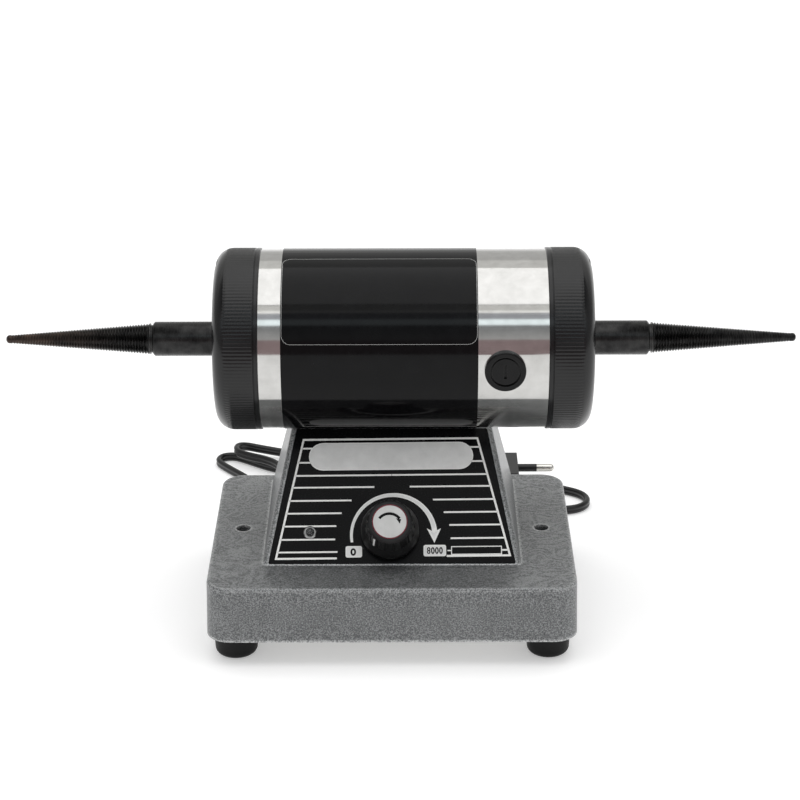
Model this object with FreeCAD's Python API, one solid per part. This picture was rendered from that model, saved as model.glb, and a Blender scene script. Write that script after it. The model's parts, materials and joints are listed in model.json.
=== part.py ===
import FreeCAD
import Part
import math
import os
from FreeCAD import Placement, Rotation, Vector

# Bench polishing lathe with two tapered spindles. Millimetres, +Z up, Z = 0 on the bench.
# X runs along the spindles with 0 midway between their tips, and Y = 0 is the middle of the base.

# Clearances
GLUE_GAP = 0.02         # between a bonded or pressed piece and what it lies on
SLIP_GAP = 0.05         # radial play of a shaft, screw or brush in its hole
FIT_GAP = 0.15          # round a plate in its recess
LOOSE_GAP = 0.3         # where a piece drops in with room

# Base casting
BASE_X = -4.2           # the base stands off centre under the motor
BASE_WIDTH = 163.0
BASE_DEPTH = 124.5
BASE_HEIGHT = 25.5
BASE_DRAFT = 0.5        # the skirt leans in by this much each side
BASE_CORNER = 11.0
BASE_EDGE = 1.2
WALL = 4.0
FOOT_HEIGHT = 12.0

# Pedestal on the base
PED_HALF_WIDTH = 57.2
PED_FRONT_INSET = 24.25  # from the base's front
PED_BACK_INSET = 6.75
PED_BELOW_AXIS = 34.4    # the pedestal's top, under the motor's axis
PED_SIDE_SLOPE = 0.25   # run over rise of the side walls and the back wall
PED_TOP_SETBACK = 4.69   # front edge of its top, ahead of the motor's axis
PED_EDGE = 2.2
SADDLE_WALL = 5.0

# Motor
MOTOR_X = 1.2
MOTOR_Y = 12.0
AXIS_HEIGHT = 125.9
TUBE_R = 40.0
TUBE_WALL = 3.0
TUBE_LENGTH = 126.0
BARE_LEFT = 9.8         # bare tube left and right of the black sleeve
BARE_RIGHT = 30.7
SLEEVE_WALL = 0.3
LABEL_START_ANGLE = 16.5    # degrees up from the front of the tube
LABEL_END_ANGLE = 79.6
LABEL_THICK = 0.25
LABEL_CORNER = 4.0

# End caps
CAP_R = 40.6
CAP_LENGTH = 20.3
CAP_FACE = 3.5
CAP_CORNER = 8.0
CAP_RIM = 2.0
CAP_GROOVE = 0.3
CAP_SPIGOT = 5.0
CAP_SPIGOT_WALL = 3.0
CAP_HOLE_R = 8.4
BOSS_WALL = 3.5

# Bearings
BEARING_BORE_R = 5.0
BEARING_R = 15.0
BEARING_WIDTH = 9.0
RACE_IN_R = 8.6
RACE_OUT_R = 12.3
BALL_R = 2.38
BALL_COUNT = 8

# Rotor
SHAFT_R = 6.0
SHAFT_END_R = 4.0
SHAFT_STUB = 20.7       # beyond each end cap
CORE_R = 25.3
CORE_INSET = 21.0       # from the tube's left end
SLOT_COUNT = 12
SLOT_WIDTH = 4.2
SLOT_MOUTH = 2.0
SLOT_IN_R = 12.5
SLOT_OUT_R = 22.5
WINDING_END = 10.0
WINDING_R = 23.0
WINDING_IN_R = 9.0
COMMUTATOR_R = 13.0
COMMUTATOR_LENGTH = 20.0
COMMUTATOR_GAP = 10.0   # between it and the windings
SEGMENT_COUNT = 24
SEGMENT_CUT = 0.6
FAN_R = 31.0
FAN_INSET = 5.0         # the fan's back plate, from the tube's left end
FAN_DEPTH = 8.0
FAN_BLADES = 9
FAN_SHEET = 1.6

# Magnets
MAGNET_IN_R = 26.0
MAGNET_SPAN = 130.0
MAGNET_OVERHANG = 2.0

# Brushes
BRUSH_INSET = 19.0      # from the tube's right end
BRUSH_WIDTH = 6.0
BRUSH_HIGH = 8.0
BRUSH_LENGTH = 13.0
BRUSH_TUBE_WALL = 0.55
HOLDER_R = 7.0
HOLDER_IN_R = 17.0
FLANGE_R = 9.0
FLANGE_PROUD = 2.4
BRUSH_CAP_R = 5.9
BRUSH_CAP_LENGTH = 7.2
BRUSH_CAP_SINK = 0.4
BRUSH_MOAT_R = 6.75     # round groove between the flange and the cap
BRUSH_MOAT = 1.3
BRUSH_SLOT = 1.2
SPRING_R = 2.3
SPRING_WIRE_R = 0.35
SPRING_TURNS = 5

# Spindles
SHANK_LENGTH = 27.3     # from the end cap to the shoulder, taken at the middle of both sides
CONE_LENGTH = 66.0
SHANK_R = 7.7
SHANK_CHAMFER = 0.8
NECK_LENGTH = 1.2
NECK_R = 6.2
THREAD_R = 6.8
THREAD_TIP_R = 1.7
THREAD_PITCH = 1.25
THREAD_DEPTH = 0.7
TIP_LENGTH = 1.6
SET_SCREW_R = 2.0
SET_SCREW_INSET = 8.6   # from the shoulder

# Screws
SCREW_R = 2.0
SCREW_HEAD_R = 3.8
SCREW_HEAD = 2.4
THROUGH_BOLT_R = 33.0   # radius at which the long motor bolts run
SADDLE_SCREW_X = 26.0
BENCH_HOLE_R = 3.3
BENCH_HOLE_INSET = 13.5 # from the base's side
BENCH_HOLE_Y = 1.0
BENCH_TUBE_WALL = 3.3

# Feet and bottom plate
PLATE_THICK = 1.5
FOOT_INSET_X = 12.5
FOOT_INSET_Y = 15.25
FOOT_R = 9.9
FOOT_TAPER = 0.5
FOOT_ROUND = 3.2
FOOT_BORE_R = 4.7
FOOT_BORE = 6.0
WASHER_THICK = 1.0
POST_R = 5.5
POST_SCREW = 12.0

# Control panel, in its own plane: x from the base's middle, s up the slope
PANEL_THICK = 1.0
PANEL_SINK = 0.6
PANEL_LOW = 0.8
PANEL_TOP_MARGIN = 0.9  # below the motor's sleeve
PANEL_SIDE_MARGIN = 2.4
PANEL_CORNER = 0.6
KNOB_X = -0.8
KNOB_S = 15.0
LIGHT_X = -36.3
LIGHT_S = 14.9

# Knob and potentiometer
KNOB_LIFT = 0.6         # above the panel's face
KNOB_SKIRT_R = 12.9
KNOB_SKIRT = 5.0
KNOB_FLARE = 3.0         # from the skirt to the fluted body
KNOB_BODY_R = 11.0
KNOB_TOP_R = 10.2
KNOB_HEIGHT = 17.6
KNOB_EDGE = 1.2
KNOB_FLUTES = 18
FLUTE_R = 0.9
KNOB_CAVITY_R = 8.6
KNOB_CAVITY = 4.0
DISC_R = 7.3
RING_WIDTH = 0.45
DISC_THICK = 0.9
POINTER_ANGLE = 229.0   # degrees, at the zero mark
POINTER_WIDTH = 0.9
POINTER_DEPTH = 0.7
POINTER_PROUD = 0.1
POT_SHAFT_R = 3.0
POT_BUSH_R = 3.5
POT_BODY_R = 8.5
POT_BODY = 9.0
POT_NUT = 2.0
POT_NUT_FLATS = 10.0
POT_SHAFT_GRIP = 10.0   # length of shaft held in the knob

# Power light
LIGHT_R = 1.9
BEZEL_R = 2.9
BEZEL_NECK_R = 2.45
BEZEL_LIP = 0.7

# Speed control board, on the bottom plate. Places on it are from its middle.
BOARD_X = -14.0
BOARD_Y = -8.0
BOARD_WIDTH = 84.0
BOARD_DEPTH = 46.0
BOARD_THICK = 1.6
STANDOFF_R = 2.5
STANDOFF_HEIGHT = 5.0
STANDOFF_INSET = 4.0
SINK_X = -26.0
SINK_PLATE = 3.0
SINK_DEPTH = 30.0
SINK_HEIGHT = 11.0
SINK_FIN_LENGTH = 8.0
SINK_FIN_THICK = 1.6
SINK_FINS = 5
TRIAC_WIDTH = 10.0
TRIAC_TAB = 1.4
TRIAC_BODY = 4.6
TRIAC_HEIGHT = 7.0
TRIAC_LEG = 0.9
TRIAC_LIFT = 0.8
CAPACITOR_X = 2.0
CAPACITOR_SIZE = (18.0, 8.0, 10.0)
TERMINAL_X = 30.0
TERMINAL_SIZE = (22.0, 9.0, 9.0)
TERMINAL_PITCH = 5.0
TERMINAL_HOLE_R = 1.6
TERMINAL_HOLE = 5.0
REAR_ROW_Y = 12.0

# Mains lead
CORD_R = 2.3
CORD_Z = 2.3            # middle of the lead where it lies on the bench
GLAND_X = -38.0
GLAND_Z = 24.0
GLAND_NECK_R = 5.0
GLAND_FLANGE_R = 6.8
GLAND_FLANGE = 2.0
GLAND_LENGTH = 22.0
GLAND_TIP_R = 3.3

# The lead drops from its strain relief through these points and lands in line with its first fold
CORD_DROP = ((-38, 95.5, 24), (-38, 107, 19), (-38, 117.8, 8.8), (-33.2, 126.4, 3.4))
CORD_LANDING = 9.7

# The lead behind the base lies in four loose folds, joined by runs.
# A fold: x and y of its middle, degrees that it points to, half width, reach, height in and height out.
HANK_FOLDS = (
    (40, 106, -22, 13, 14, 2.3, 2.3),
    (-87, 157, 137, 6.8, 8, 2.3, 2.3),
    (79.5, 108.3, -14, 12.5, 14.5, 2.3, 2.3),
    (-76.5, 160.5, 153, 8.4, 10, 7.6, 4.5),
)
# The points of the runs before, between and after the folds
HANK_RUNS = (
    ((-10, 131, 2.3), (2, 130.3, 2.3), (14, 127.8, 2.3), (25, 123.5, 2.3)),
    ((22, 93.5, 2.3), (6, 92.5, 2.3), (-11, 93, 2.3), (-28, 96, 2.3), (-44, 101.5, 2.3), (-59, 110.5, 2.3),
     (-71, 123, 2.3), (-80, 136, 2.3)),
    ((-68, 149.5, 2.3), (-53, 143, 2.3), (-36, 140, 2.3), (-17, 140.5, 2.3), (3, 142.5, 2.3), (24, 143, 2.3),
     (44, 139.5, 2.3), (60, 131.5, 2.3)),
    ((62, 93.5, 2.3), (45, 87.5, 2.3), (26, 85.5, 2.3), (6, 85, 2.6), (-14, 87, 4), (-32, 93, 6.6),
     (-46, 104, 7.6), (-54, 119, 7.6), (-60, 134, 7.6), (-67, 146, 7.6)),
    ((-61, 166, 3.4), (-49, 160, 4.4), (-37, 151.5, 7.2), (-26, 141, 8.2), (-16, 129.5, 9.8)),
)
HANK_TURNS = (-80, -40, 0, 40, 80)

# Plug, resting on the folded lead
PIN_R = 2.0
PIN_LENGTH = 19.0
PIN_SLEEVE = 10.0
PIN_PITCH = 18.6
PLUG_FACE_X = 58.5
PLUG_Y = 118.1
PLUG_BOTTOM = 4.9
PLUG_THICK = 13.7
PLUG_WIDTH = 35.3
PLUG_FLAT = 26.0
PLUG_EDGE = 4.4
PLUG_LENGTH = 22.0
PLUG_TAPER = 12.0
PLUG_TAPER_SHARE = 0.5
PLUG_RELIEF = 20.0
PLUG_RELIEF_R = 4.2
PIN_ROOT = 8.0          # length of pin inside the plug
PIN_ROOT_R = 1.63

# Places worked out from the sizes above
BASE_TOP = FOOT_HEIGHT + BASE_HEIGHT
PED_HEIGHT = AXIS_HEIGHT - PED_BELOW_AXIS - BASE_TOP
PED_FRONT_Y = PED_FRONT_INSET - BASE_DEPTH / 2
PED_BACK_Y = BASE_DEPTH / 2 - PED_BACK_INSET
PLATE_TOP = FOOT_HEIGHT + PLATE_THICK
CEILING = BASE_TOP - WALL
HALF_TUBE = TUBE_LENGTH / 2
FOOT_X = BASE_WIDTH / 2 - FOOT_INSET_X
FOOT_Y = BASE_DEPTH / 2 - FOOT_INSET_Y
BENCH_HOLE_X = BASE_WIDTH / 2 - BENCH_HOLE_INSET
SLEEVE_LEFT = HALF_TUBE - BARE_LEFT
SLEEVE_RIGHT = HALF_TUBE - BARE_RIGHT
CORE_LEFT = HALF_TUBE - CORE_INSET
BRUSH_X = HALF_TUBE - BRUSH_INSET
CORE_RIGHT = BRUSH_X - COMMUTATOR_LENGTH / 2 - COMMUTATOR_GAP - WINDING_END
CORE_LENGTH = CORE_LEFT + CORE_RIGHT
FAN_X = HALF_TUBE - FAN_INSET
CAP_END = HALF_TUBE + CAP_LENGTH
SHAFT_END = CAP_END + SHAFT_STUB
SHANK_END = CAP_END + SHANK_LENGTH
SPINDLE_TIP = SHANK_END + CONE_LENGTH
SET_SCREW_X = SHANK_END - SET_SCREW_INSET
BEARING_OUT = CAP_END - CAP_FACE
BEARING_IN = BEARING_OUT - BEARING_WIDTH
SLEEVE_R = TUBE_R + SLEEVE_WALL
MOTOR_CENTRE = Vector(MOTOR_X, MOTOR_Y, AXIS_HEIGHT)
PANEL_TOP = PANEL_THICK - PANEL_SINK
TILT = math.atan2(MOTOR_Y - PED_TOP_SETBACK - PED_FRONT_Y, PED_HEIGHT)  # the front leans back from upright
FRONT_SLOPE = math.tan(TILT)
AXIS_ALONG = (MOTOR_Y - PED_FRONT_Y) * math.sin(TILT) + (AXIS_HEIGHT - BASE_TOP) * math.cos(TILT)
AXIS_ABOVE = (AXIS_HEIGHT - BASE_TOP) * math.sin(TILT) - (MOTOR_Y - PED_FRONT_Y) * math.cos(TILT)
SADDLE_EDGE = AXIS_ALONG - math.sqrt(SLEEVE_R ** 2 - AXIS_ABOVE ** 2)
PANEL_HIGH = SADDLE_EDGE - PANEL_TOP_MARGIN
PANEL_NARROWING = PED_SIDE_SLOPE * math.cos(TILT)
PANEL_HALF_LOW = PED_HALF_WIDTH - PANEL_SIDE_MARGIN - PANEL_NARROWING * PANEL_LOW
PANEL_HALF_HIGH = PED_HALF_WIDTH - PANEL_SIDE_MARGIN - PANEL_NARROWING * PANEL_HIGH
PANEL_PLACE = Placement(Vector(BASE_X, PED_FRONT_Y, BASE_TOP), Rotation(Vector(1, 0, 0), 90 - math.degrees(TILT)))
PLUG_Z = PLUG_BOTTOM + PLUG_THICK / 2

X_AXIS = Vector(1, 0, 0)
Y_AXIS = Vector(0, 1, 0)
Z_AXIS = Vector(0, 0, 1)


# Shapes used by many pieces

def cylinder(radius, start, end):
    """Cylinder between two points."""
    line = end - start
    return Part.makeCylinder(radius, line.Length, start, line)


def ring(outer, inner, start, end):
    """Tube between two points."""
    return cylinder(outer, start, end).cut(cylinder(inner, start, end))


def block(x, y, z):
    """Box given by its low and high value along each axis."""
    corner = Vector(x[0], y[0], z[0])
    return Part.makeBox(x[1] - x[0], y[1] - y[0], z[1] - z[0], corner)


def polygon_face(points):
    return Part.Face(Part.makePolygon(list(points) + [points[0]]))


def turned(profile, axis=X_AXIS):
    """Solid of revolution from (along, radius) points."""
    if axis == X_AXIS:
        points = [Vector(along, 0, radius) for along, radius in profile]
    elif axis == Y_AXIS:
        points = [Vector(radius, along, 0) for along, radius in profile]
    else:
        points = [Vector(radius, 0, along) for along, radius in profile]
    return polygon_face(points).revolve(Vector(0, 0, 0), axis, 360)


def rounded_outline(width, depth, corner, z):
    """Wire of a rounded rectangle at height z."""
    x = width / 2
    y = depth / 2
    edges = []
    centres = ((x - corner, y - corner, 0), (corner - x, y - corner, 90),
               (corner - x, corner - y, 180), (x - corner, corner - y, 270))
    ends = []
    for cx, cy, angle in centres:
        arc = Part.makeCircle(corner, Vector(cx, cy, z), Z_AXIS, angle, angle + 90)
        edges.append(arc)
        ends.append((arc.Vertexes[0].Point, arc.Vertexes[-1].Point))
    lines = []
    for i in range(4):
        lines.append(Part.makeLine(ends[i][1], ends[(i + 1) % 4][0]))
    order = [edge for pair in zip(edges, lines) for edge in pair]
    return Part.Wire(order)


def rounded_block(width, depth, corner, low, high, draft=0.0):
    """Block with rounded corners whose sides lean in by the draft."""
    lower = rounded_outline(width, depth, corner, low)
    upper = rounded_outline(width - 2 * draft, depth - 2 * draft, corner - draft, high)
    return Part.makeLoft([lower, upper], True, True)


def slanted_block(half_width, front, back, side, slope_front, low, high):
    """Block on the base whose four sides lean in as they rise."""
    wires = []
    for z in (low, high):
        rise = z - BASE_TOP
        x = half_width - side * rise
        y0 = front + slope_front * rise
        y1 = back - side * rise
        points = [Vector(-x, y0, z), Vector(x, y0, z), Vector(x, y1, z), Vector(-x, y1, z)]
        wires.append(Part.makePolygon(points + [points[0]]))
    return Part.makeLoft(wires, True, True)


def along_x(shape):
    """Move a motor piece from the motor's own middle to its place."""
    return shape.translated(MOTOR_CENTRE)


def on_panel(shape):
    """Move a piece drawn flat on the panel to its place on the sloping front."""
    moved = shape.copy()
    moved.Placement = PANEL_PLACE.multiply(moved.Placement)
    return moved


def on_base(shape):
    return shape.translated(Vector(BASE_X, 0, 0))


def both_ways(points):
    """The four corner places of a pattern given by its (x, y) half spacings."""
    x, y = points
    return [(-x, -y), (x, -y), (-x, y), (x, y)]


# Base and pedestal

def make_base_casting():
    body = rounded_block(BASE_WIDTH, BASE_DEPTH, BASE_CORNER, FOOT_HEIGHT, BASE_TOP, BASE_DRAFT)
    rim = [edge for edge in body.Edges if edge.BoundBox.ZMin > BASE_TOP - 0.01]
    body = body.makeFillet(BASE_EDGE, rim)
    hump = slanted_block(PED_HALF_WIDTH, PED_FRONT_Y, PED_BACK_Y, PED_SIDE_SLOPE, FRONT_SLOPE,
                         BASE_TOP, BASE_TOP + PED_HEIGHT)
    slanted = [edge for edge in hump.Edges if edge.BoundBox.ZLength > PED_HEIGHT / 2]
    hump = hump.makeFillet(PED_EDGE, slanted)
    root = slanted_block(PED_HALF_WIDTH - PED_EDGE, PED_FRONT_Y + PED_EDGE, PED_BACK_Y - PED_EDGE, 0, 0,
                         BASE_TOP - WALL / 2, BASE_TOP)
    body = body.fuse(hump).fuse(root)
    reach = Vector(TUBE_LENGTH, 0, 0)
    saddle_centre = MOTOR_CENTRE - Vector(BASE_X, 0, 0)
    saddle = cylinder(SLEEVE_R, saddle_centre - reach, saddle_centre + reach)
    body = body.cut(saddle)

    hollow = rounded_block(BASE_WIDTH - 2 * WALL, BASE_DEPTH - 2 * WALL, BASE_CORNER - WALL,
                           FOOT_HEIGHT, CEILING)
    side_wall = WALL * math.hypot(1, PED_SIDE_SLOPE)
    front_wall = WALL / math.cos(TILT)
    inner = slanted_block(PED_HALF_WIDTH - side_wall, PED_FRONT_Y + front_wall, PED_BACK_Y - side_wall,
                          PED_SIDE_SLOPE, FRONT_SLOPE, CEILING - 1, BASE_TOP + PED_HEIGHT - WALL)
    under_saddle = cylinder(SLEEVE_R + SADDLE_WALL, saddle_centre - reach, saddle_centre + reach)
    body = body.cut(hollow).cut(inner.cut(under_saddle))

    for x, y in both_ways((FOOT_X, FOOT_Y)):
        post = cylinder(POST_R, Vector(x, y, PLATE_TOP), Vector(x, y, CEILING + 1))
        pilot = cylinder(SCREW_R + SLIP_GAP, Vector(x, y, PLATE_TOP), Vector(x, y, PLATE_TOP + POST_SCREW + 1))
        body = body.fuse(post).cut(pilot)
    for x in (-BENCH_HOLE_X, BENCH_HOLE_X):
        low = Vector(x, BENCH_HOLE_Y, PLATE_TOP)
        high = Vector(x, BENCH_HOLE_Y, CEILING + 1)
        body = body.fuse(cylinder(BENCH_HOLE_R + BENCH_TUBE_WALL, low, high))
        body = body.cut(cylinder(BENCH_HOLE_R, low, high + Vector(0, 0, BASE_HEIGHT)))
    for x in (-SADDLE_SCREW_X, SADDLE_SCREW_X):
        place = Vector(x + MOTOR_X - BASE_X, MOTOR_Y, AXIS_HEIGHT)
        drop = Vector(0, 0, -SLEEVE_R - 2 * SADDLE_WALL)
        body = body.cut(cylinder(SCREW_R + SLIP_GAP, place, place + drop))
    body = on_base(body.removeSplitter())

    recess = panel_outline(FIT_GAP, -PANEL_SINK, PANEL_THICK)
    bush = cylinder(POT_BUSH_R + SLIP_GAP, Vector(KNOB_X, KNOB_S, -2 * WALL), Vector(KNOB_X, KNOB_S, 1))
    light = cylinder(BEZEL_NECK_R + SLIP_GAP, Vector(LIGHT_X, LIGHT_S, -2 * WALL), Vector(LIGHT_X, LIGHT_S, 1))
    for tool in (recess, bush, light):
        body = body.cut(on_panel(tool))
    back = BASE_DEPTH / 2
    body = body.cut(cylinder(GLAND_NECK_R + SLIP_GAP, Vector(GLAND_X, back - 2 * WALL, GLAND_Z),
                             Vector(GLAND_X, back + 1, GLAND_Z)))
    return body


def make_bottom_plate():
    plate = rounded_block(BASE_WIDTH - 2 * WALL - 2 * LOOSE_GAP, BASE_DEPTH - 2 * WALL - 2 * LOOSE_GAP,
                          BASE_CORNER - WALL - LOOSE_GAP, FOOT_HEIGHT, PLATE_TOP)
    for x, y in both_ways((FOOT_X, FOOT_Y)):
        plate = plate.cut(cylinder(SCREW_R + SLIP_GAP, Vector(x, y, 0), Vector(x, y, PLATE_TOP + 1)))
    for x in (-BENCH_HOLE_X, BENCH_HOLE_X):
        plate = plate.cut(cylinder(BENCH_HOLE_R, Vector(x, BENCH_HOLE_Y, 0),
                                   Vector(x, BENCH_HOLE_Y, PLATE_TOP + 1)))
    return on_base(plate)


def make_foot(x, y):
    low = FOOT_R - FOOT_TAPER
    bend = []
    for step in range(9):
        angle = math.radians(90 * step / 8)
        bend.append((FOOT_ROUND - FOOT_ROUND * math.cos(angle), low - FOOT_ROUND + FOOT_ROUND * math.sin(angle)))
    profile = [(0, FOOT_BORE_R)] + bend + [(FOOT_HEIGHT, FOOT_R), (FOOT_HEIGHT, SCREW_R + SLIP_GAP),
                                           (FOOT_BORE, SCREW_R + SLIP_GAP), (FOOT_BORE, FOOT_BORE_R)]
    return on_base(turned(profile, Z_AXIS).translated(Vector(x, y, 0)))


def make_foot_washers():
    washers = []
    for x, y in both_ways((FOOT_X, FOOT_Y)):
        washers.append(ring(FOOT_BORE_R - LOOSE_GAP, SCREW_R + SLIP_GAP,
                            Vector(x, y, FOOT_BORE - WASHER_THICK), Vector(x, y, FOOT_BORE)))
    return on_base(Part.makeCompound(washers))


def make_foot_screws():
    top = PLATE_TOP + POST_SCREW
    head = FOOT_BORE - WASHER_THICK
    screws = []
    for x, y in both_ways((FOOT_X, FOOT_Y)):
        profile = [(head - SCREW_HEAD, 0), (head - SCREW_HEAD, SCREW_HEAD_R * 0.7),
                   (head - SCREW_HEAD / 2, SCREW_HEAD_R), (head, SCREW_HEAD_R), (head, SCREW_R),
                   (top - SCREW_R, SCREW_R), (top, 0)]
        screws.append(turned(profile, Z_AXIS).translated(Vector(x, y, 0)))
    return on_base(Part.makeCompound(screws))


def make_saddle_screws():
    under = SLEEVE_R + SADDLE_WALL
    tip = TUBE_R - TUBE_WALL - SLIP_GAP
    screws = []
    for x in (-SADDLE_SCREW_X, SADDLE_SCREW_X):
        profile = [(-under - SCREW_HEAD, 0), (-under - SCREW_HEAD, SCREW_HEAD_R * 0.8),
                   (-under - SCREW_HEAD / 2, SCREW_HEAD_R), (-under, SCREW_HEAD_R), (-under, SCREW_R),
                   (-tip, SCREW_R), (-tip, 0)]
        screws.append(turned(profile, Z_AXIS).translated(Vector(x, 0, 0)))
    return along_x(Part.makeCompound(screws))


# Motor shell

def make_motor_tube():
    half = Vector(HALF_TUBE, 0, 0)
    tube = ring(TUBE_R, TUBE_R - TUBE_WALL, -half, half)
    middle = Vector(BRUSH_X, 0, 0)
    across = Vector(0, TUBE_R + 1, 0)
    tube = tube.cut(cylinder(HOLDER_R + GLUE_GAP, middle - across, middle + across))
    for x in (-SADDLE_SCREW_X, SADDLE_SCREW_X):
        tube = tube.cut(cylinder(SCREW_R + SLIP_GAP, Vector(x, 0, 0), Vector(x, 0, -TUBE_R - 1)))
    return along_x(tube)


def make_motor_sleeve():
    sleeve = ring(SLEEVE_R, TUBE_R + GLUE_GAP, Vector(-SLEEVE_LEFT, 0, 0), Vector(SLEEVE_RIGHT, 0, 0))
    for x in (-SADDLE_SCREW_X, SADDLE_SCREW_X):
        sleeve = sleeve.cut(cylinder(SCREW_R + SLIP_GAP, Vector(x, 0, 0), Vector(x, 0, -SLEEVE_R - 1)))
    return along_x(sleeve)


def make_data_plate():
    inner = SLEEVE_R + GLUE_GAP
    outer = inner + LABEL_THICK
    length = SLEEVE_LEFT + SLEEVE_RIGHT - 2 * LOOSE_GAP
    middle = (SLEEVE_RIGHT - SLEEVE_LEFT) / 2
    skin = ring(outer, inner, Vector(middle - length / 2, 0, 0), Vector(middle + length / 2, 0, 0))
    half_angle = math.radians(LABEL_END_ANGLE - LABEL_START_ANGLE) / 2
    width = 2 * outer * math.sin(half_angle)
    punch = rounded_block(length, width, LABEL_CORNER, outer / 2, 2 * outer)
    tilt = 90 - (LABEL_END_ANGLE + LABEL_START_ANGLE) / 2
    punch.rotate(Vector(0, 0, 0), X_AXIS, tilt)
    return along_x(skin.common(punch.translated(Vector(middle, 0, 0))))


def make_end_cap(side):
    """End shield with its spigot, bearing seat and shaft hole; side is 1 on the right, -1 on the left."""
    face = CAP_LENGTH - CAP_FACE
    spigot_r = TUBE_R - TUBE_WALL - GLUE_GAP
    start = Vector(0, 0, 0)
    points = [(-CAP_SPIGOT, spigot_r - CAP_SPIGOT_WALL), (-CAP_SPIGOT, spigot_r), (0, spigot_r), (0, CAP_R),
              (CAP_RIM, CAP_R), (CAP_RIM, CAP_R - CAP_GROOVE), (CAP_RIM + CAP_GROOVE, CAP_R - CAP_GROOVE),
              (CAP_RIM + CAP_GROOVE, CAP_R), (CAP_LENGTH - CAP_CORNER, CAP_R)]
    outline = [Vector(x, 0, r) for x, r in points]
    edges = [Part.makeLine(a, b) for a, b in zip(outline, outline[1:])]
    turn = math.radians(45)
    knee = Vector(CAP_LENGTH - CAP_CORNER + CAP_CORNER * math.sin(turn), 0,
                  CAP_R - CAP_CORNER + CAP_CORNER * math.cos(turn))
    face_edge = Vector(CAP_LENGTH, 0, CAP_R - CAP_CORNER)
    edges.append(Part.Arc(outline[-1], knee, face_edge).toShape())
    inside = [(CAP_LENGTH, CAP_HOLE_R), (face, CAP_HOLE_R), (face, BEARING_R + GLUE_GAP),
              (face - BEARING_WIDTH - 1, BEARING_R + GLUE_GAP), (face - BEARING_WIDTH - 1, BEARING_R + BOSS_WALL),
              (face, BEARING_R + BOSS_WALL), (face, CAP_R - CAP_CORNER - CAP_FACE / 2),
              (CAP_LENGTH - CAP_CORNER, spigot_r - CAP_SPIGOT_WALL)]
    rest = [face_edge] + [Vector(x, 0, r) for x, r in inside] + [outline[0]]
    edges += [Part.makeLine(a, b) for a, b in zip(rest, rest[1:])]
    cap = Part.Face(Part.Wire(edges)).revolve(start, X_AXIS, 360)
    for z in (-THROUGH_BOLT_R, THROUGH_BOLT_R):
        cap = cap.cut(cylinder(SCREW_R + SLIP_GAP, Vector(-CAP_SPIGOT, 0, z), Vector(CAP_LENGTH + 1, 0, z)))
        cap = cap.cut(cylinder(SCREW_HEAD_R + LOOSE_GAP, Vector(face, 0, z), Vector(CAP_LENGTH + 1, 0, z)))
    cap = cap.translated(Vector(HALF_TUBE, 0, 0))
    if side < 0:
        cap = cap.mirror(Vector(0, 0, 0), X_AXIS)
    return along_x(cap)


def make_through_bolts():
    """Two long bolts that pull the end caps together, head on the right and nut on the left."""
    seat = CAP_END - CAP_FACE
    bolts = []
    for z in (-THROUGH_BOLT_R, THROUGH_BOLT_R):
        head_half = SCREW_HEAD / 2
        profile = [(-seat - SCREW_HEAD, 0), (-seat - SCREW_HEAD, SCREW_HEAD_R), (-seat, SCREW_HEAD_R),
                   (-seat, SCREW_R), (seat, SCREW_R), (seat, SCREW_HEAD_R), (seat + head_half, SCREW_HEAD_R),
                   (seat + SCREW_HEAD, SCREW_HEAD_R * 0.7), (seat + SCREW_HEAD, 0)]
        bolts.append(turned(profile).translated(Vector(0, 0, z)))
    return along_x(Part.makeCompound(bolts))


def make_magnet(side):
    """Arc magnet bonded in the tube; side is -1 at the front, 1 at the rear."""
    left = Vector(-CORE_LEFT - MAGNET_OVERHANG, 0, 0)
    right = Vector(CORE_RIGHT + MAGNET_OVERHANG, 0, 0)
    outer = TUBE_R - TUBE_WALL - GLUE_GAP
    shell = ring(outer, MAGNET_IN_R, left, right)
    half = math.radians(MAGNET_SPAN / 2)
    far = 2 * outer
    edge = Vector(0, side * far * math.cos(half), far * math.sin(half))
    below = Vector(edge.x, edge.y, -edge.z)
    corner = Vector(0, side * 2 * far, edge.z)
    wedge = polygon_face([Vector(0, 0, 0), edge, corner, Vector(0, corner.y, below.z), below])
    wedge = wedge.translated(left).extrude(right - left)
    return along_x(shell.common(wedge))


# Bearings

def make_bearing(side):
    """Outer race, inner race and balls of one bearing."""
    start = Vector(side * BEARING_IN, 0, 0)
    end = Vector(side * BEARING_OUT, 0, 0)
    pitch = (RACE_IN_R + RACE_OUT_R) / 2
    middle = (start + end) * 0.5
    groove = Part.makeTorus(pitch, BALL_R + SLIP_GAP, middle, X_AXIS)
    outer = ring(BEARING_R, RACE_OUT_R, start, end).cut(groove)
    inner = ring(RACE_IN_R, BEARING_BORE_R + GLUE_GAP, start, end).cut(groove)
    balls = []
    for i in range(BALL_COUNT):
        angle = 2 * math.pi * i / BALL_COUNT
        place = middle + Vector(0, pitch * math.cos(angle), pitch * math.sin(angle))
        balls.append(Part.makeSphere(BALL_R, place))
    return along_x(outer), along_x(inner), along_x(Part.makeCompound(balls))


# Rotor

def make_rotor_shaft():
    profile = [(-SHAFT_END, 0), (-SHAFT_END, SHAFT_END_R), (-BEARING_OUT, SHAFT_END_R),
               (-BEARING_OUT, BEARING_BORE_R), (-BEARING_IN, BEARING_BORE_R), (-BEARING_IN, SHAFT_R),
               (BEARING_IN, SHAFT_R), (BEARING_IN, BEARING_BORE_R), (BEARING_OUT, BEARING_BORE_R),
               (BEARING_OUT, SHAFT_END_R), (SHAFT_END, SHAFT_END_R), (SHAFT_END, 0)]
    return along_x(turned(profile))


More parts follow.
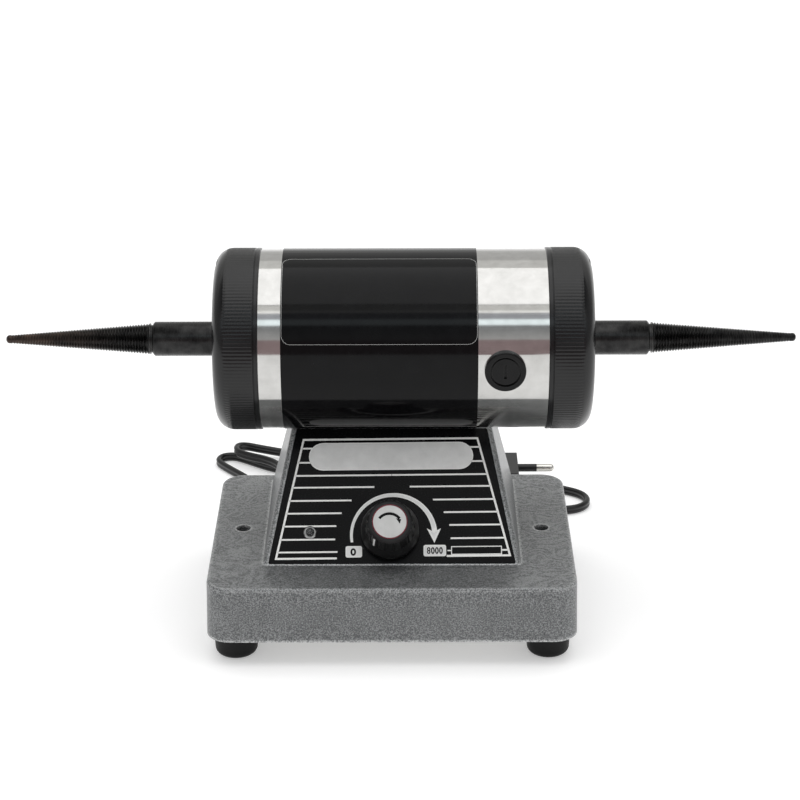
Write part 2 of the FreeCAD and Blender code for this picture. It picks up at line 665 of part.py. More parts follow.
def slot_bars(width, mouth, inner, outer, rim, left, right):
    """Twelve bars like the core's slots, as one list."""
    bars = []
    for i in range(SLOT_COUNT):
        bar = block((left, right), (-width / 2, width / 2), (inner, outer))
        if rim > outer:
            bar = bar.fuse(block((left, right), (-mouth / 2, mouth / 2), (outer - 1, rim)))
        bar.rotate(Vector(0, 0, 0), X_AXIS, 360.0 * i / SLOT_COUNT)
        bars.append(bar)
    return bars


def make_armature_core():
    core = ring(CORE_R, SHAFT_R + GLUE_GAP, Vector(-CORE_LEFT, 0, 0), Vector(CORE_RIGHT, 0, 0))
    slots = slot_bars(SLOT_WIDTH, SLOT_MOUTH, SLOT_IN_R, SLOT_OUT_R, CORE_R + 1,
                      -CORE_LEFT - 1, CORE_RIGHT + 1)
    return along_x(core.cut(Part.makeCompound(slots)))


def make_armature_windings():
    """Coils in the slots and the rounded end turns, as one wound piece."""
    bars = slot_bars(SLOT_WIDTH - 2 * FIT_GAP, 0, SLOT_IN_R + FIT_GAP, SLOT_OUT_R - FIT_GAP, 0,
                     -CORE_LEFT - FIT_GAP - 1, CORE_RIGHT + FIT_GAP + 1)
    coil = None
    for start, end in ((-CORE_LEFT - WINDING_END, -CORE_LEFT - FIT_GAP),
                       (CORE_RIGHT + FIT_GAP, CORE_RIGHT + WINDING_END)):
        turn = ring(WINDING_R, WINDING_IN_R, Vector(start, 0, 0), Vector(end, 0, 0))
        turn = turn.makeFillet(WINDING_END / 4, [e for e in turn.Edges if e.Length > 2 * math.pi * SHAFT_R])
        coil = turn if coil is None else coil.fuse(turn)
    return along_x(coil.fuse(bars))


def make_commutator():
    start = BRUSH_X - COMMUTATOR_LENGTH / 2
    end = BRUSH_X + COMMUTATOR_LENGTH / 2
    riser = COMMUTATOR_R + 2
    profile = [(start, SHAFT_R + GLUE_GAP), (start, riser), (start + 2, riser), (start + 2, COMMUTATOR_R),
               (end, COMMUTATOR_R), (end, SHAFT_R + GLUE_GAP)]
    drum = turned(profile)
    cuts = []
    for i in range(SEGMENT_COUNT):
        cut = block((start - 1, end + 1), (-SEGMENT_CUT / 2, SEGMENT_CUT / 2), (COMMUTATOR_R - 1.5, riser + 1))
        cut.rotate(Vector(0, 0, 0), X_AXIS, 360.0 * i / SEGMENT_COUNT)
        cuts.append(cut)
    return along_x(drum.cut(Part.makeCompound(cuts)))


def make_cooling_fan():
    disc = ring(FAN_R, SHAFT_R + GLUE_GAP, Vector(-FAN_X, 0, 0), Vector(-FAN_X + FAN_SHEET, 0, 0))
    hub = ring(SHAFT_R + 4, SHAFT_R + GLUE_GAP, Vector(-FAN_X - FAN_DEPTH, 0, 0), Vector(-FAN_X, 0, 0))
    fan = disc.fuse(hub)
    for i in range(FAN_BLADES):
        blade = block((-FAN_X - FAN_DEPTH, -FAN_X + FAN_SHEET / 2), (-FAN_SHEET / 2, FAN_SHEET / 2),
                      (SHAFT_R + 2, FAN_R))
        blade.rotate(Vector(0, 0, 0), X_AXIS, 360.0 * i / FAN_BLADES)
        fan = fan.fuse(blade)
    return along_x(fan)


def make_spindle(side):
    """Tapered screw spindle with its shank; side is 1 on the right, -1 on the left."""
    inner_end = BEARING_OUT + side * MOTOR_X
    bore_end = SHAFT_END + side * MOTOR_X + 1
    thread_start = SHANK_END + NECK_LENGTH
    thread_end = SPINDLE_TIP - TIP_LENGTH
    turns = int((thread_end - thread_start) / THREAD_PITCH)
    taper = (THREAD_R - THREAD_TIP_R) / (thread_end - thread_start)
    profile = [(inner_end, SHAFT_END_R + GLUE_GAP), (inner_end, SHANK_R), (SHANK_END - SHANK_CHAMFER, SHANK_R),
               (SHANK_END, SHANK_R - SHANK_CHAMFER), (SHANK_END, NECK_R)]
    for i in range(turns):
        root = thread_start + i * THREAD_PITCH
        crest = root + THREAD_PITCH / 2
        profile.append((root, THREAD_R - THREAD_DEPTH - taper * (root - thread_start)))
        profile.append((crest, THREAD_R - taper * (crest - thread_start)))
    profile += [(thread_end, THREAD_TIP_R), (SPINDLE_TIP - THREAD_TIP_R / 2, THREAD_TIP_R * 0.85),
                (SPINDLE_TIP, THREAD_TIP_R * 0.3), (SPINDLE_TIP, 0), (bore_end, 0),
                (bore_end, SHAFT_END_R + GLUE_GAP)]
    spindle = turned(profile)
    hole = cylinder(SET_SCREW_R + SLIP_GAP, Vector(SET_SCREW_X, 0, 0), Vector(SET_SCREW_X, 0, SHANK_R + 1))
    spindle = spindle.cut(hole)
    if side < 0:
        spindle = spindle.mirror(Vector(0, 0, 0), X_AXIS)
    return spindle.translated(Vector(0, MOTOR_Y, AXIS_HEIGHT))


def make_set_screws():
    screws = []
    for side in (-1, 1):
        x = side * SET_SCREW_X
        body = cylinder(SET_SCREW_R, Vector(x, 0, SHAFT_END_R + GLUE_GAP), Vector(x, 0, SHANK_R - LOOSE_GAP))
        screws.append(body.translated(Vector(0, MOTOR_Y, AXIS_HEIGHT)))
    return Part.makeCompound(screws)


# Brushes

def at_brush(shape, side):
    """Place a brush piece, drawn along +Y from the motor's axis, at the rear (1) or the front (-1)."""
    if side < 0:
        shape = shape.mirror(Vector(0, 0, 0), Y_AXIS)
    return along_x(shape.translated(Vector(BRUSH_X, 0, 0)))


def make_brush_holder(side):
    flange_top = TUBE_R + FLANGE_PROUD
    cap_seat = flange_top - BRUSH_CAP_SINK - BRUSH_CAP_LENGTH
    body = cylinder(HOLDER_R, Vector(0, HOLDER_IN_R, 0), Vector(0, flange_top, 0))
    flange = cylinder(FLANGE_R, Vector(0, TUBE_R - FLANGE_R / 4, 0), Vector(0, flange_top, 0))
    edge = [e for e in flange.Edges if e.BoundBox.YMin > flange_top - 0.01]
    flange = flange.makeFillet(FLANGE_PROUD / 3, edge)
    tube = cylinder(TUBE_R + GLUE_GAP, Vector(-FLANGE_R - 1, 0, 0), Vector(FLANGE_R + 1, 0, 0))
    body = body.fuse(flange.cut(tube))
    x = BRUSH_WIDTH / 2 + SLIP_GAP + BRUSH_TUBE_WALL + GLUE_GAP
    z = BRUSH_HIGH / 2 + SLIP_GAP + BRUSH_TUBE_WALL + GLUE_GAP
    body = body.cut(block((-x, x), (HOLDER_IN_R - 1, cap_seat), (-z, z)))
    body = body.cut(cylinder(BRUSH_CAP_R + GLUE_GAP, Vector(0, cap_seat, 0), Vector(0, flange_top + 1, 0)))
    body = body.cut(cylinder(BRUSH_MOAT_R, Vector(0, flange_top - BRUSH_MOAT, 0), Vector(0, flange_top + 1, 0)))
    return at_brush(body, side)


def make_brush_tube(side):
    flange_top = TUBE_R + FLANGE_PROUD
    cap_seat = flange_top - BRUSH_CAP_SINK - BRUSH_CAP_LENGTH
    x = BRUSH_WIDTH / 2 + SLIP_GAP
    z = BRUSH_HIGH / 2 + SLIP_GAP
    w = BRUSH_TUBE_WALL
    span = (HOLDER_IN_R, cap_seat - GLUE_GAP)
    tube = block((-x - w, x + w), span, (-z - w, z + w)).cut(block((-x, x), (0, 2 * TUBE_R), (-z, z)))
    return at_brush(tube, side)


def make_carbon_brush(side):
    x = BRUSH_WIDTH / 2
    z = BRUSH_HIGH / 2
    body = block((-x, x), (COMMUTATOR_R / 2, COMMUTATOR_R + BRUSH_LENGTH), (-z, z))
    drum = cylinder(COMMUTATOR_R + SLIP_GAP, Vector(-x - 1, 0, 0), Vector(x + 1, 0, 0))
    return at_brush(body.cut(drum), side)


def make_brush_cap(side):
    top = TUBE_R + FLANGE_PROUD - BRUSH_CAP_SINK
    body = cylinder(BRUSH_CAP_R, Vector(0, top - BRUSH_CAP_LENGTH + GLUE_GAP, 0), Vector(0, top, 0))
    half = BRUSH_SLOT / 2
    slot = block((-half, half), (top - 1.2, top + 1), (-BRUSH_CAP_R * 0.55, BRUSH_CAP_R * 0.55))
    return at_brush(body.cut(slot), side)


def biarc(p0, t0, p1, t1):
    """Two arcs that join p0 to p1 with the directions t0 and t1 at their ends."""
    v = p1 - p0
    t = t0 + t1
    a = 2 * (1 - t0.dot(t1))
    b = v.dot(t)
    if a < 1e-9:
        if v.cross(t0).Length < 1e-6:
            return [Part.LineSegment(p0, p1)]
        reach = v.dot(v) / (4 * v.dot(t0))
    else:
        reach = (-b + math.sqrt(b * b + a * v.dot(v))) / a
    knot = (p0 + p1 + (t0 - t1) * reach) * 0.5
    pieces = []
    for start, heading, end in ((p0, t0, knot), (knot, None, p1)):
        chord = end - start
        if heading is None:
            heading = (p1 - t1 * reach - knot).normalize()
        if chord.cross(heading).Length < 1e-5 * chord.Length:
            pieces.append(Part.LineSegment(start, end))
        else:
            bow = heading - chord * (heading.dot(chord) / chord.dot(chord))
            bow.normalize()
            half_angle = math.atan2(heading.dot(bow), heading.dot(chord) / chord.Length)
            height = chord.Length / 2 * math.tan(half_angle / 2)
            pieces.append(Part.Arc(start, (start + end) * 0.5 + bow * height, end))
    return pieces


def wound_tube(stations, radius):
    """One unbroken tube through (point, direction) stations, on biarcs."""
    edges = []
    for (p0, t0), (p1, t1) in zip(stations, stations[1:]):
        edges += [piece.toShape() for piece in biarc(p0, t0, p1, t1)]
    path = Part.Wire(edges)
    circle = Part.Wire([Part.makeCircle(radius, stations[0][0], stations[0][1])])
    return path.makePipeShell([circle], True, False), path


def make_brush_spring(side):
    """Coil spring between the brush and its cap."""
    start = COMMUTATOR_R + BRUSH_LENGTH + LOOSE_GAP + SPRING_WIRE_R
    end = TUBE_R + FLANGE_PROUD - BRUSH_CAP_SINK - BRUSH_CAP_LENGTH - LOOSE_GAP - SPRING_WIRE_R
    pitch = (end - start) / SPRING_TURNS
    stations = []
    for i in range(4 * SPRING_TURNS + 1):
        angle = math.pi / 2 * i
        along = start + pitch * i / 4
        point = Vector(SPRING_R * math.cos(angle), along, SPRING_R * math.sin(angle))
        heading = Vector(-SPRING_R * math.sin(angle), pitch / (2 * math.pi), SPRING_R * math.cos(angle))
        stations.append((point, heading.normalize()))
    spring, path = wound_tube(stations, SPRING_WIRE_R)
    return at_brush(spring, side)


# Controls on the panel, drawn flat with Z out of the panel

def panel_outline(grow, low, high):
    """The panel plate's outline, grown by a gap, between two heights."""
    points = [Vector(-PANEL_HALF_LOW - grow, PANEL_LOW - grow, low),
              Vector(PANEL_HALF_LOW + grow, PANEL_LOW - grow, low),
              Vector(PANEL_HALF_HIGH + grow, PANEL_HIGH + grow, low),
              Vector(-PANEL_HALF_HIGH - grow, PANEL_HIGH + grow, low)]
    plate = polygon_face(points).extrude(Vector(0, 0, high - low))
    upright = [e for e in plate.Edges if e.BoundBox.ZLength > (high - low) / 2]
    return plate.makeFillet(PANEL_CORNER + grow, upright)


def make_control_panel():
    plate = panel_outline(0, -PANEL_SINK + GLUE_GAP, PANEL_TOP)
    for x, s, radius in ((KNOB_X, KNOB_S, POT_BUSH_R), (LIGHT_X, LIGHT_S, BEZEL_NECK_R)):
        plate = plate.cut(cylinder(radius + SLIP_GAP, Vector(x, s, -WALL), Vector(x, s, WALL)))
    return on_panel(plate)


def at_knob(shape):
    return on_panel(shape.translated(Vector(KNOB_X, KNOB_S, 0)))


def make_potentiometer():
    nut_top = PANEL_TOP + POT_NUT + LOOSE_GAP
    body = cylinder(POT_BODY_R, Vector(0, 0, -WALL - POT_BODY), Vector(0, 0, -WALL - GLUE_GAP))
    bush = cylinder(POT_BUSH_R, Vector(0, 0, -WALL - 1), Vector(0, 0, nut_top))
    body = body.fuse(bush)
    for x in (-5, 0, 5):
        tag = block((x - 0.8, x + 0.8), (-POT_BODY_R - 5, -POT_BODY_R + 2), (-WALL - 3, -WALL - 2.2))
        body = body.fuse(tag)
    bore = cylinder(POT_SHAFT_R + SLIP_GAP, Vector(0, 0, -WALL - POT_BODY + 1), Vector(0, 0, nut_top + 1))
    return at_knob(body.cut(bore))


def make_potentiometer_nut():
    corner = POT_NUT_FLATS / 2 / math.cos(math.pi / 6)
    points = []
    for i in range(6):
        angle = math.pi / 3 * i
        points.append(Vector(corner * math.cos(angle), corner * math.sin(angle), PANEL_TOP))
    nut = polygon_face(points).extrude(Vector(0, 0, POT_NUT))
    hole = cylinder(POT_BUSH_R + GLUE_GAP, Vector(0, 0, 0), Vector(0, 0, WALL))
    return at_knob(nut.cut(hole))


def knob_heights():
    bottom = PANEL_TOP + KNOB_LIFT
    return bottom, bottom + KNOB_HEIGHT


def knob_lean():
    """Degrees that the fluted body narrows towards its top."""
    return math.degrees(math.atan2(KNOB_BODY_R - KNOB_TOP_R, KNOB_HEIGHT - KNOB_EDGE - KNOB_SKIRT - KNOB_FLARE))


def make_potentiometer_shaft():
    bottom, top = knob_heights()
    end = bottom + KNOB_CAVITY + POT_SHAFT_GRIP
    return at_knob(cylinder(POT_SHAFT_R, Vector(0, 0, -WALL - POT_BODY + 1 + SLIP_GAP), Vector(0, 0, end)))


def make_speed_knob():
    bottom, top = knob_heights()
    waist = bottom + KNOB_SKIRT + KNOB_FLARE
    cup = top - DISC_THICK
    disc = DISC_R + RING_WIDTH
    bore_top = bottom + KNOB_CAVITY + POT_SHAFT_GRIP + LOOSE_GAP
    profile = [(bottom, KNOB_CAVITY_R), (bottom, KNOB_SKIRT_R - 0.6), (bottom + 0.8, KNOB_SKIRT_R),
               (bottom + KNOB_SKIRT - 1, KNOB_SKIRT_R), (bottom + KNOB_SKIRT, KNOB_SKIRT_R - 0.4),
               (waist, KNOB_BODY_R), (top - KNOB_EDGE, KNOB_TOP_R), (top - KNOB_EDGE / 3, KNOB_TOP_R - KNOB_EDGE / 3),
               (top, KNOB_TOP_R - KNOB_EDGE), (top, disc + GLUE_GAP), (cup, disc + GLUE_GAP), (cup, 0),
               (bore_top, 0), (bore_top, POT_SHAFT_R + GLUE_GAP), (bottom + KNOB_CAVITY, POT_SHAFT_R + GLUE_GAP),
               (bottom + KNOB_CAVITY, KNOB_CAVITY_R)]
    knob = turned(profile, Z_AXIS)
    for i in range(KNOB_FLUTES):
        flute = cylinder(FLUTE_R, Vector(0, 0, 0), Vector(0, 0, KNOB_HEIGHT))
        flute.rotate(Vector(0, 0, 0), Y_AXIS, -knob_lean())
        flute = flute.translated(Vector(KNOB_BODY_R + FLUTE_R / 2, 0, waist))
        flute.rotate(Vector(0, 0, 0), Z_AXIS, POINTER_ANGLE + 360.0 * (i + 0.5) / KNOB_FLUTES)
        knob = knob.cut(flute)
    return at_knob(knob.cut(pointer_bar(GLUE_GAP)))


def pointer_bar(grow):
    """White bar let into the knob's side at the zero mark."""
    bottom, top = knob_heights()
    waist = bottom + KNOB_SKIRT + KNOB_FLARE
    half = POINTER_WIDTH / 2 + grow
    length = top - KNOB_EDGE - waist - POINTER_PROUD
    bar = block((-POINTER_DEPTH - grow, POINTER_PROUD), (-half, half), (-grow, length + grow))
    bar.rotate(Vector(0, 0, 0), Y_AXIS, -knob_lean())
    bar = bar.translated(Vector(KNOB_BODY_R, 0, waist + POINTER_PROUD))
    bar.rotate(Vector(0, 0, 0), Z_AXIS, POINTER_ANGLE)
    return bar


def make_knob_pointer():
    return at_knob(pointer_bar(0))


def make_knob_ring():
    bottom, top = knob_heights()
    low = Vector(0, 0, top - DISC_THICK)
    return at_knob(ring(DISC_R + RING_WIDTH, DISC_R + GLUE_GAP, low, Vector(0, 0, top + 0.1)))


def make_knob_disc():
    bottom, top = knob_heights()
    return at_knob(cylinder(DISC_R, Vector(0, 0, top - DISC_THICK), Vector(0, 0, top)))


def at_light(shape):
    return on_panel(shape.translated(Vector(LIGHT_X, LIGHT_S, 0)))


def make_power_light():
    tip = PANEL_TOP + BEZEL_LIP + 0.6
    body = cylinder(LIGHT_R, Vector(0, 0, -WALL - 3), Vector(0, 0, tip))
    dome = Part.makeSphere(LIGHT_R, Vector(0, 0, tip))
    return at_light(body.fuse(dome))


def make_power_light_bezel():
    lip = PANEL_TOP + BEZEL_LIP
    profile = [(-WALL - 1, LIGHT_R + SLIP_GAP), (-WALL - 1, BEZEL_NECK_R), (PANEL_TOP, BEZEL_NECK_R),
               (PANEL_TOP, BEZEL_R), (lip - 0.3, BEZEL_R), (lip, BEZEL_R - 0.4), (lip, LIGHT_R + SLIP_GAP)]
    return at_light(turned(profile, Z_AXIS))


# Speed control inside the base

def board_corners():
    x = BOARD_WIDTH / 2 - STANDOFF_INSET
    y = BOARD_DEPTH / 2 - STANDOFF_INSET
    return [(BOARD_X + dx, BOARD_Y + dy) for dx, dy in both_ways((x, y))]


def make_board_standoffs():
    posts = []
    for x, y in board_corners():
        posts.append(cylinder(STANDOFF_R, Vector(x, y, PLATE_TOP), Vector(x, y, PLATE_TOP + STANDOFF_HEIGHT)))
    return on_base(Part.makeCompound(posts))


def board_top():
    return PLATE_TOP + STANDOFF_HEIGHT + BOARD_THICK


def board_box(dx, dy, width, depth, height, lift=0.0):
    """Box standing on the board, placed from the board's middle."""
    x = BOARD_X + dx
    y = BOARD_Y + dy
    low = board_top() + lift
    return block((x - width / 2, x + width / 2), (y - depth / 2, y + depth / 2), (low, low + height))


def make_speed_board():
    board = board_box(0, 0, BOARD_WIDTH, BOARD_DEPTH, BOARD_THICK, -BOARD_THICK)
    return on_base(board)


def make_speed_heat_sink():
    sink = board_box(SINK_X, 0, SINK_PLATE, SINK_DEPTH, SINK_HEIGHT)
    for i in range(SINK_FINS):
        y = (i / (SINK_FINS - 1) - 0.5) * (SINK_DEPTH - SINK_FIN_THICK)
        x = SINK_X - SINK_FIN_LENGTH / 2
        sink = sink.fuse(board_box(x, y, SINK_FIN_LENGTH, SINK_FIN_THICK, SINK_HEIGHT))
    return on_base(sink)


def make_speed_triac():
    face = SINK_X + SINK_PLATE / 2
    middle = face + TRIAC_BODY / 2
    triac = board_box(face + TRIAC_TAB / 2, 0, TRIAC_TAB, TRIAC_WIDTH, SINK_HEIGHT - TRIAC_LIFT, TRIAC_LIFT)
    triac = triac.fuse(board_box(middle, 0, TRIAC_BODY, TRIAC_WIDTH, TRIAC_HEIGHT, TRIAC_LIFT))
    for i in (-1, 0, 1):
        triac = triac.fuse(board_box(middle, i * TRIAC_WIDTH / 4, TRIAC_LEG, TRIAC_LEG, 2 * TRIAC_LIFT))
    return on_base(triac)


def make_speed_capacitor():
    body = board_box(CAPACITOR_X, REAR_ROW_Y, *CAPACITOR_SIZE)
    body = body.makeFillet(1.0, [e for e in body.Edges if e.BoundBox.ZMin > board_top() + 1])
    return on_base(body)


def make_terminal_block():
    body = board_box(TERMINAL_X, REAR_ROW_Y, *TERMINAL_SIZE)
    top = board_top() + TERMINAL_SIZE[2]
    for i in range(4):
        x = BOARD_X + TERMINAL_X + (i - 1.5) * TERMINAL_PITCH
        y = BOARD_Y + REAR_ROW_Y
        body = body.cut(cylinder(TERMINAL_HOLE_R, Vector(x, y, top - TERMINAL_HOLE), Vector(x, y, top + 1)))
    return on_base(body)


# Mains lead

def make_cord_gland():
    wall = BASE_DEPTH / 2
    inside = wall - WALL
    tip = wall + GLAND_LENGTH
    profile = [(inside - GLAND_FLANGE, 0), (inside - GLAND_FLANGE, GLAND_FLANGE_R - 0.8),
               (inside - LOOSE_GAP, GLAND_FLANGE_R - 0.8), (inside - LOOSE_GAP, GLAND_NECK_R),
               (wall + GLUE_GAP, GLAND_NECK_R), (wall + GLUE_GAP, GLAND_FLANGE_R), (wall + GLAND_FLANGE, GLAND_FLANGE_R),
               (wall + GLAND_FLANGE + 0.5, GLAND_NECK_R), (tip, GLAND_TIP_R), (tip, 0)]
    return turned(profile, Y_AXIS).translated(Vector(GLAND_X, 0, GLAND_Z))


def unit(v):
    return Vector(v).normalize()


def fold_points(fold):
    """Points round one fold of the lead, taken clockwise as seen from above."""
    x, y, angle, half, reach, height_in, height_out = fold
    out = Vector(math.cos(math.radians(angle)), math.sin(math.radians(angle)), 0)
    side = Vector(-out.y, out.x, 0)
    points = []
    for turn in HANK_TURNS:
        bend = math.radians(turn)
        height = height_in + (height_out - height_in) * max(0.0, turn / 90)
        points.append(Vector(x, y, height) + out * (reach * math.cos(bend)) - side * (half * math.sin(bend)))
    return points


def plug_entry():
    """Where the lead enters the plug's strain relief."""
    back = PLUG_FACE_X - PLUG_LENGTH - PLUG_TAPER - PLUG_RELIEF
    return Vector(back, PLUG_Y, PLUG_Z)


def hank_points():
    """Points of the folded lead, from where it lands on the bench to the plug."""
    points = []
    for i, run in enumerate(HANK_RUNS):
        points += [Vector(*point) for point in run]
        if i < len(HANK_FOLDS):
            points += fold_points(HANK_FOLDS[i])
    entry = plug_entry()
    points.append(entry + Vector(-6 * CORD_R, 1.2 * CORD_R, -CORD_R / 8))
    return points


def headings(points):
    """Direction at each point: that of the circle through it and its neighbours."""
    result = []
    count = len(points)
    for i in range(count):
        a = points[max(i - 1, 0)]
        b = points[i]
        c = points[min(i + 1, count - 1)]
        if i in (0, count - 1):
            result.append(unit(c - a))
        else:
            before = b - a
            after = c - b
            result.append(unit(before * (after.Length / before.Length) + after * (before.Length / after.Length)))
    return result


def hank_stations():
    """Points and directions of the folded lead, with a straight end at each side."""
    points = hank_points()
    stations = list(zip(points, headings(points)))
    first, heading = stations[0]
    entry = plug_entry()
    before = (first - heading * (2 * CORD_R), heading)
    after = [(entry - X_AXIS * (2 * CORD_R), X_AXIS), (entry, X_AXIS)]
    return [before] + stations + after


def least_self_gap(path, radius):
    """Least distance between stretches of the tube that lie well apart along it."""
    count = int(path.Length / 2)
    points = path.discretize(count)
    skip = int(8 * radius / (path.Length / count)) + 1
    least = 1e9
    for i in range(count):
        for j in range(i + skip, count):
            least = min(least, points[i].distanceToPoint(points[j]))
    return least - 2 * radius


def make_cord_hank():
    hank, path = wound_tube(hank_stations(), CORD_R)
    print("hank length", round(path.Length, 1), "least self gap", round(least_self_gap(path, CORD_R), 2))
    print("hank volume over section times length",
          round(hank.Volume / (math.pi * CORD_R ** 2 * path.Length), 4))
    return hank


def cord_route():
    """Points of the lead from its strain relief down to the bench."""
    start, heading = hank_stations()[0]
    points = [Vector(GLAND_X, BASE_DEPTH / 2 + GLAND_LENGTH, GLAND_Z)]
    points += [Vector(*point) for point in CORD_DROP]
    return points + [start - heading * CORD_LANDING, start]


def route_tube(points, name):
    """Tube of straight runs joined by tangent arcs."""
    edges = []
    radii = []
    start = points[0]
    for a, b, c in zip(points, points[1:], points[2:]):
        into = unit(b - a)
        out = unit(c - b)
        turn = into.getAngle(out)
        cut = 0.45 * min((b - a).Length, (c - b).Length)
        radii.append(round(cut / math.tan(turn / 2), 1))
        p = b - into * cut
        q = b + out * cut
        middle = b + unit(out - into) * (cut / math.tan(turn / 2) * (1 / math.cos(turn / 2) - 1))
        edges.append(Part.LineSegment(start, p).toShape())
        edges.append(Part.Arc(p, middle, q).toShape())
        start = q
    edges.append(Part.LineSegment(start, points[-1]).toShape())
    path = Part.Wire(edges)
    circle = Part.Wire([Part.makeCircle(CORD_R, points[0], points[1] - points[0])])
    tube = path.makePipeShell([circle], True, False)
    print(name, "radii", radii, "length", round(path.Length, 1),
          "volume ratio", round(tube.Volume / (math.pi * CORD_R ** 2 * path.Length), 4))
    return tube


def plug_section(share, x):
    half = PLUG_WIDTH / 2 * share
    flat = PLUG_FLAT / 2 * share
    high = PLUG_THICK / 2 * (0.5 + share / 2)
    edge = PLUG_EDGE / 2 * share
    corners = [(half, -edge), (half, edge), (flat, high), (-flat, high),
               (-half, edge), (-half, -edge), (-flat, -high), (flat, -high)]
    points = [Vector(x, y, z) for y, z in corners]
    return Part.makePolygon(points + [points[0]])


def at_plug(shape):
    return shape.translated(Vector(PLUG_FACE_X, PLUG_Y, PLUG_Z))


def make_plug_body():
    front = Part.makeLoft([plug_section(1, 0), plug_section(1, -PLUG_LENGTH)], True, True)
    rear = Part.makeLoft([plug_section(1, -PLUG_LENGTH),
                          plug_section(PLUG_TAPER_SHARE, -PLUG_LENGTH - PLUG_TAPER)], True, True)
    end = -PLUG_LENGTH - PLUG_TAPER
    relief = turned([(end - PLUG_RELIEF, 0), (end - PLUG_RELIEF, CORD_R + 0.6), (end + 1, PLUG_RELIEF_R),
                     (end + 1, 0)])
    body = front.fuse(rear).fuse(relief)
    for y in (-PIN_PITCH / 2, PIN_PITCH / 2):
        body = body.cut(cylinder(PIN_ROOT_R + GLUE_GAP, Vector(-PIN_ROOT, y, 0), Vector(1, y, 0)))
    return at_plug(body.removeSplitter())


def make_plug_sleeves():
    sleeves = []
    for y in (-PIN_PITCH / 2, PIN_PITCH / 2):
        sleeves.append(ring(PIN_R, PIN_ROOT_R + GLUE_GAP, Vector(0, y, 0), Vector(PIN_SLEEVE, y, 0)))
    return at_plug(Part.makeCompound(sleeves))


def make_plug_pins():
    pins = []
    for y in (-PIN_PITCH / 2, PIN_PITCH / 2):
        profile = [(GLUE_GAP - PIN_ROOT, 0), (GLUE_GAP - PIN_ROOT, PIN_ROOT_R),
                   (PIN_SLEEVE + GLUE_GAP, PIN_ROOT_R), (PIN_SLEEVE + GLUE_GAP, PIN_R)]
        for step in range(5):
            angle = math.radians(90 * step / 4)
            profile.append((PIN_LENGTH - PIN_R + PIN_R * math.sin(angle), PIN_R * math.cos(angle)))
        pins.append(turned(profile).translated(Vector(0, y, 0)))
    return at_plug(Part.makeCompound(pins))


def make_all():
    """Every piece by its name."""
    left_outer, left_inner, left_balls = make_bearing(-1)
    right_outer, right_inner, right_balls = make_bearing(1)
    parts = {
        "base_casting": make_base_casting(),
        "bottom_plate": make_bottom_plate(),
        "foot_washers": make_foot_washers(),
        "foot_screws": make_foot_screws(),
        "saddle_screws": make_saddle_screws(),
        "motor_tube": make_motor_tube(),
        "motor_sleeve": make_motor_sleeve(),
        "data_plate": make_data_plate(),
        "left_end_cap": make_end_cap(-1),
        "right_end_cap": make_end_cap(1),
        "through_bolts": make_through_bolts(),
        "front_magnet": make_magnet(-1),
        "rear_magnet": make_magnet(1),
        "left_bearing_outer": left_outer,
        "left_bearing_inner": left_inner,
        "left_bearing_balls": left_balls,
        "right_bearing_outer": right_outer,
        "right_bearing_inner": right_inner,
        "right_bearing_balls": right_balls,
        "rotor_shaft": make_rotor_shaft(),
        "armature_core": make_armature_core(),
        "armature_windings": make_armature_windings(),
        "commutator": make_commutator(),
        "cooling_fan": make_cooling_fan(),
        "left_spindle": make_spindle(-1),
        "right_spindle": make_spindle(1),
        "spindle_set_screws": make_set_screws(),
        "brush_tubes": Part.makeCompound([make_brush_tube(side) for side in (-1, 1)]),
        "brush_springs": Part.makeCompound([make_brush_spring(side) for side in (-1, 1)]),
        "brush_caps": Part.makeCompound([make_brush_cap(side) for side in (-1, 1)]),
        "control_panel": make_control_panel(),
        "potentiometer": make_potentiometer(),
        "potentiometer_nut": make_potentiometer_nut(),
        "potentiometer_shaft": make_potentiometer_shaft(),
        "speed_knob": make_speed_knob(),
        "knob_pointer": make_knob_pointer(),
        "knob_ring": make_knob_ring(),
        "knob_disc": make_knob_disc(),
        "power_light": make_power_light(),
        "power_light_bezel": make_power_light_bezel(),
        "speed_board": make_speed_board(),
        "board_standoffs": make_board_standoffs(),
        "speed_heat_sink": make_speed_heat_sink(),
        "speed_triac": make_speed_triac(),
        "speed_capacitor": make_speed_capacitor(),
        "terminal_block": make_terminal_block(),
        "cord_gland": make_cord_gland(),
        "power_cord": route_tube(cord_route(), "power_cord"),
        "cord_hank": make_cord_hank(),
        "plug_body": make_plug_body(),
        "plug_sleeves": make_plug_sleeves(),
        "plug_pins": make_plug_pins(),
    }
    for depth, y in (("front", -FOOT_Y), ("rear", FOOT_Y)):
        for hand, x in (("left", -FOOT_X), ("right", FOOT_X)):
            parts["foot_" + depth + "_" + hand] = make_foot(x, y)
    for name, side in (("front", -1), ("rear", 1)):
        parts[name + "_brush_holder"] = make_brush_holder(side)
        parts[name + "_carbon_brush"] = make_carbon_brush(side)
    return parts


os.makedirs("parts", exist_ok=True)
for node, shape in make_all().items():
    if not shape.isValid():
        print("not valid:", node)
    shape.exportStep("parts/" + node + ".step")
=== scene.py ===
import json
import math

import bmesh
import bpy
from mathutils import Matrix, Vector


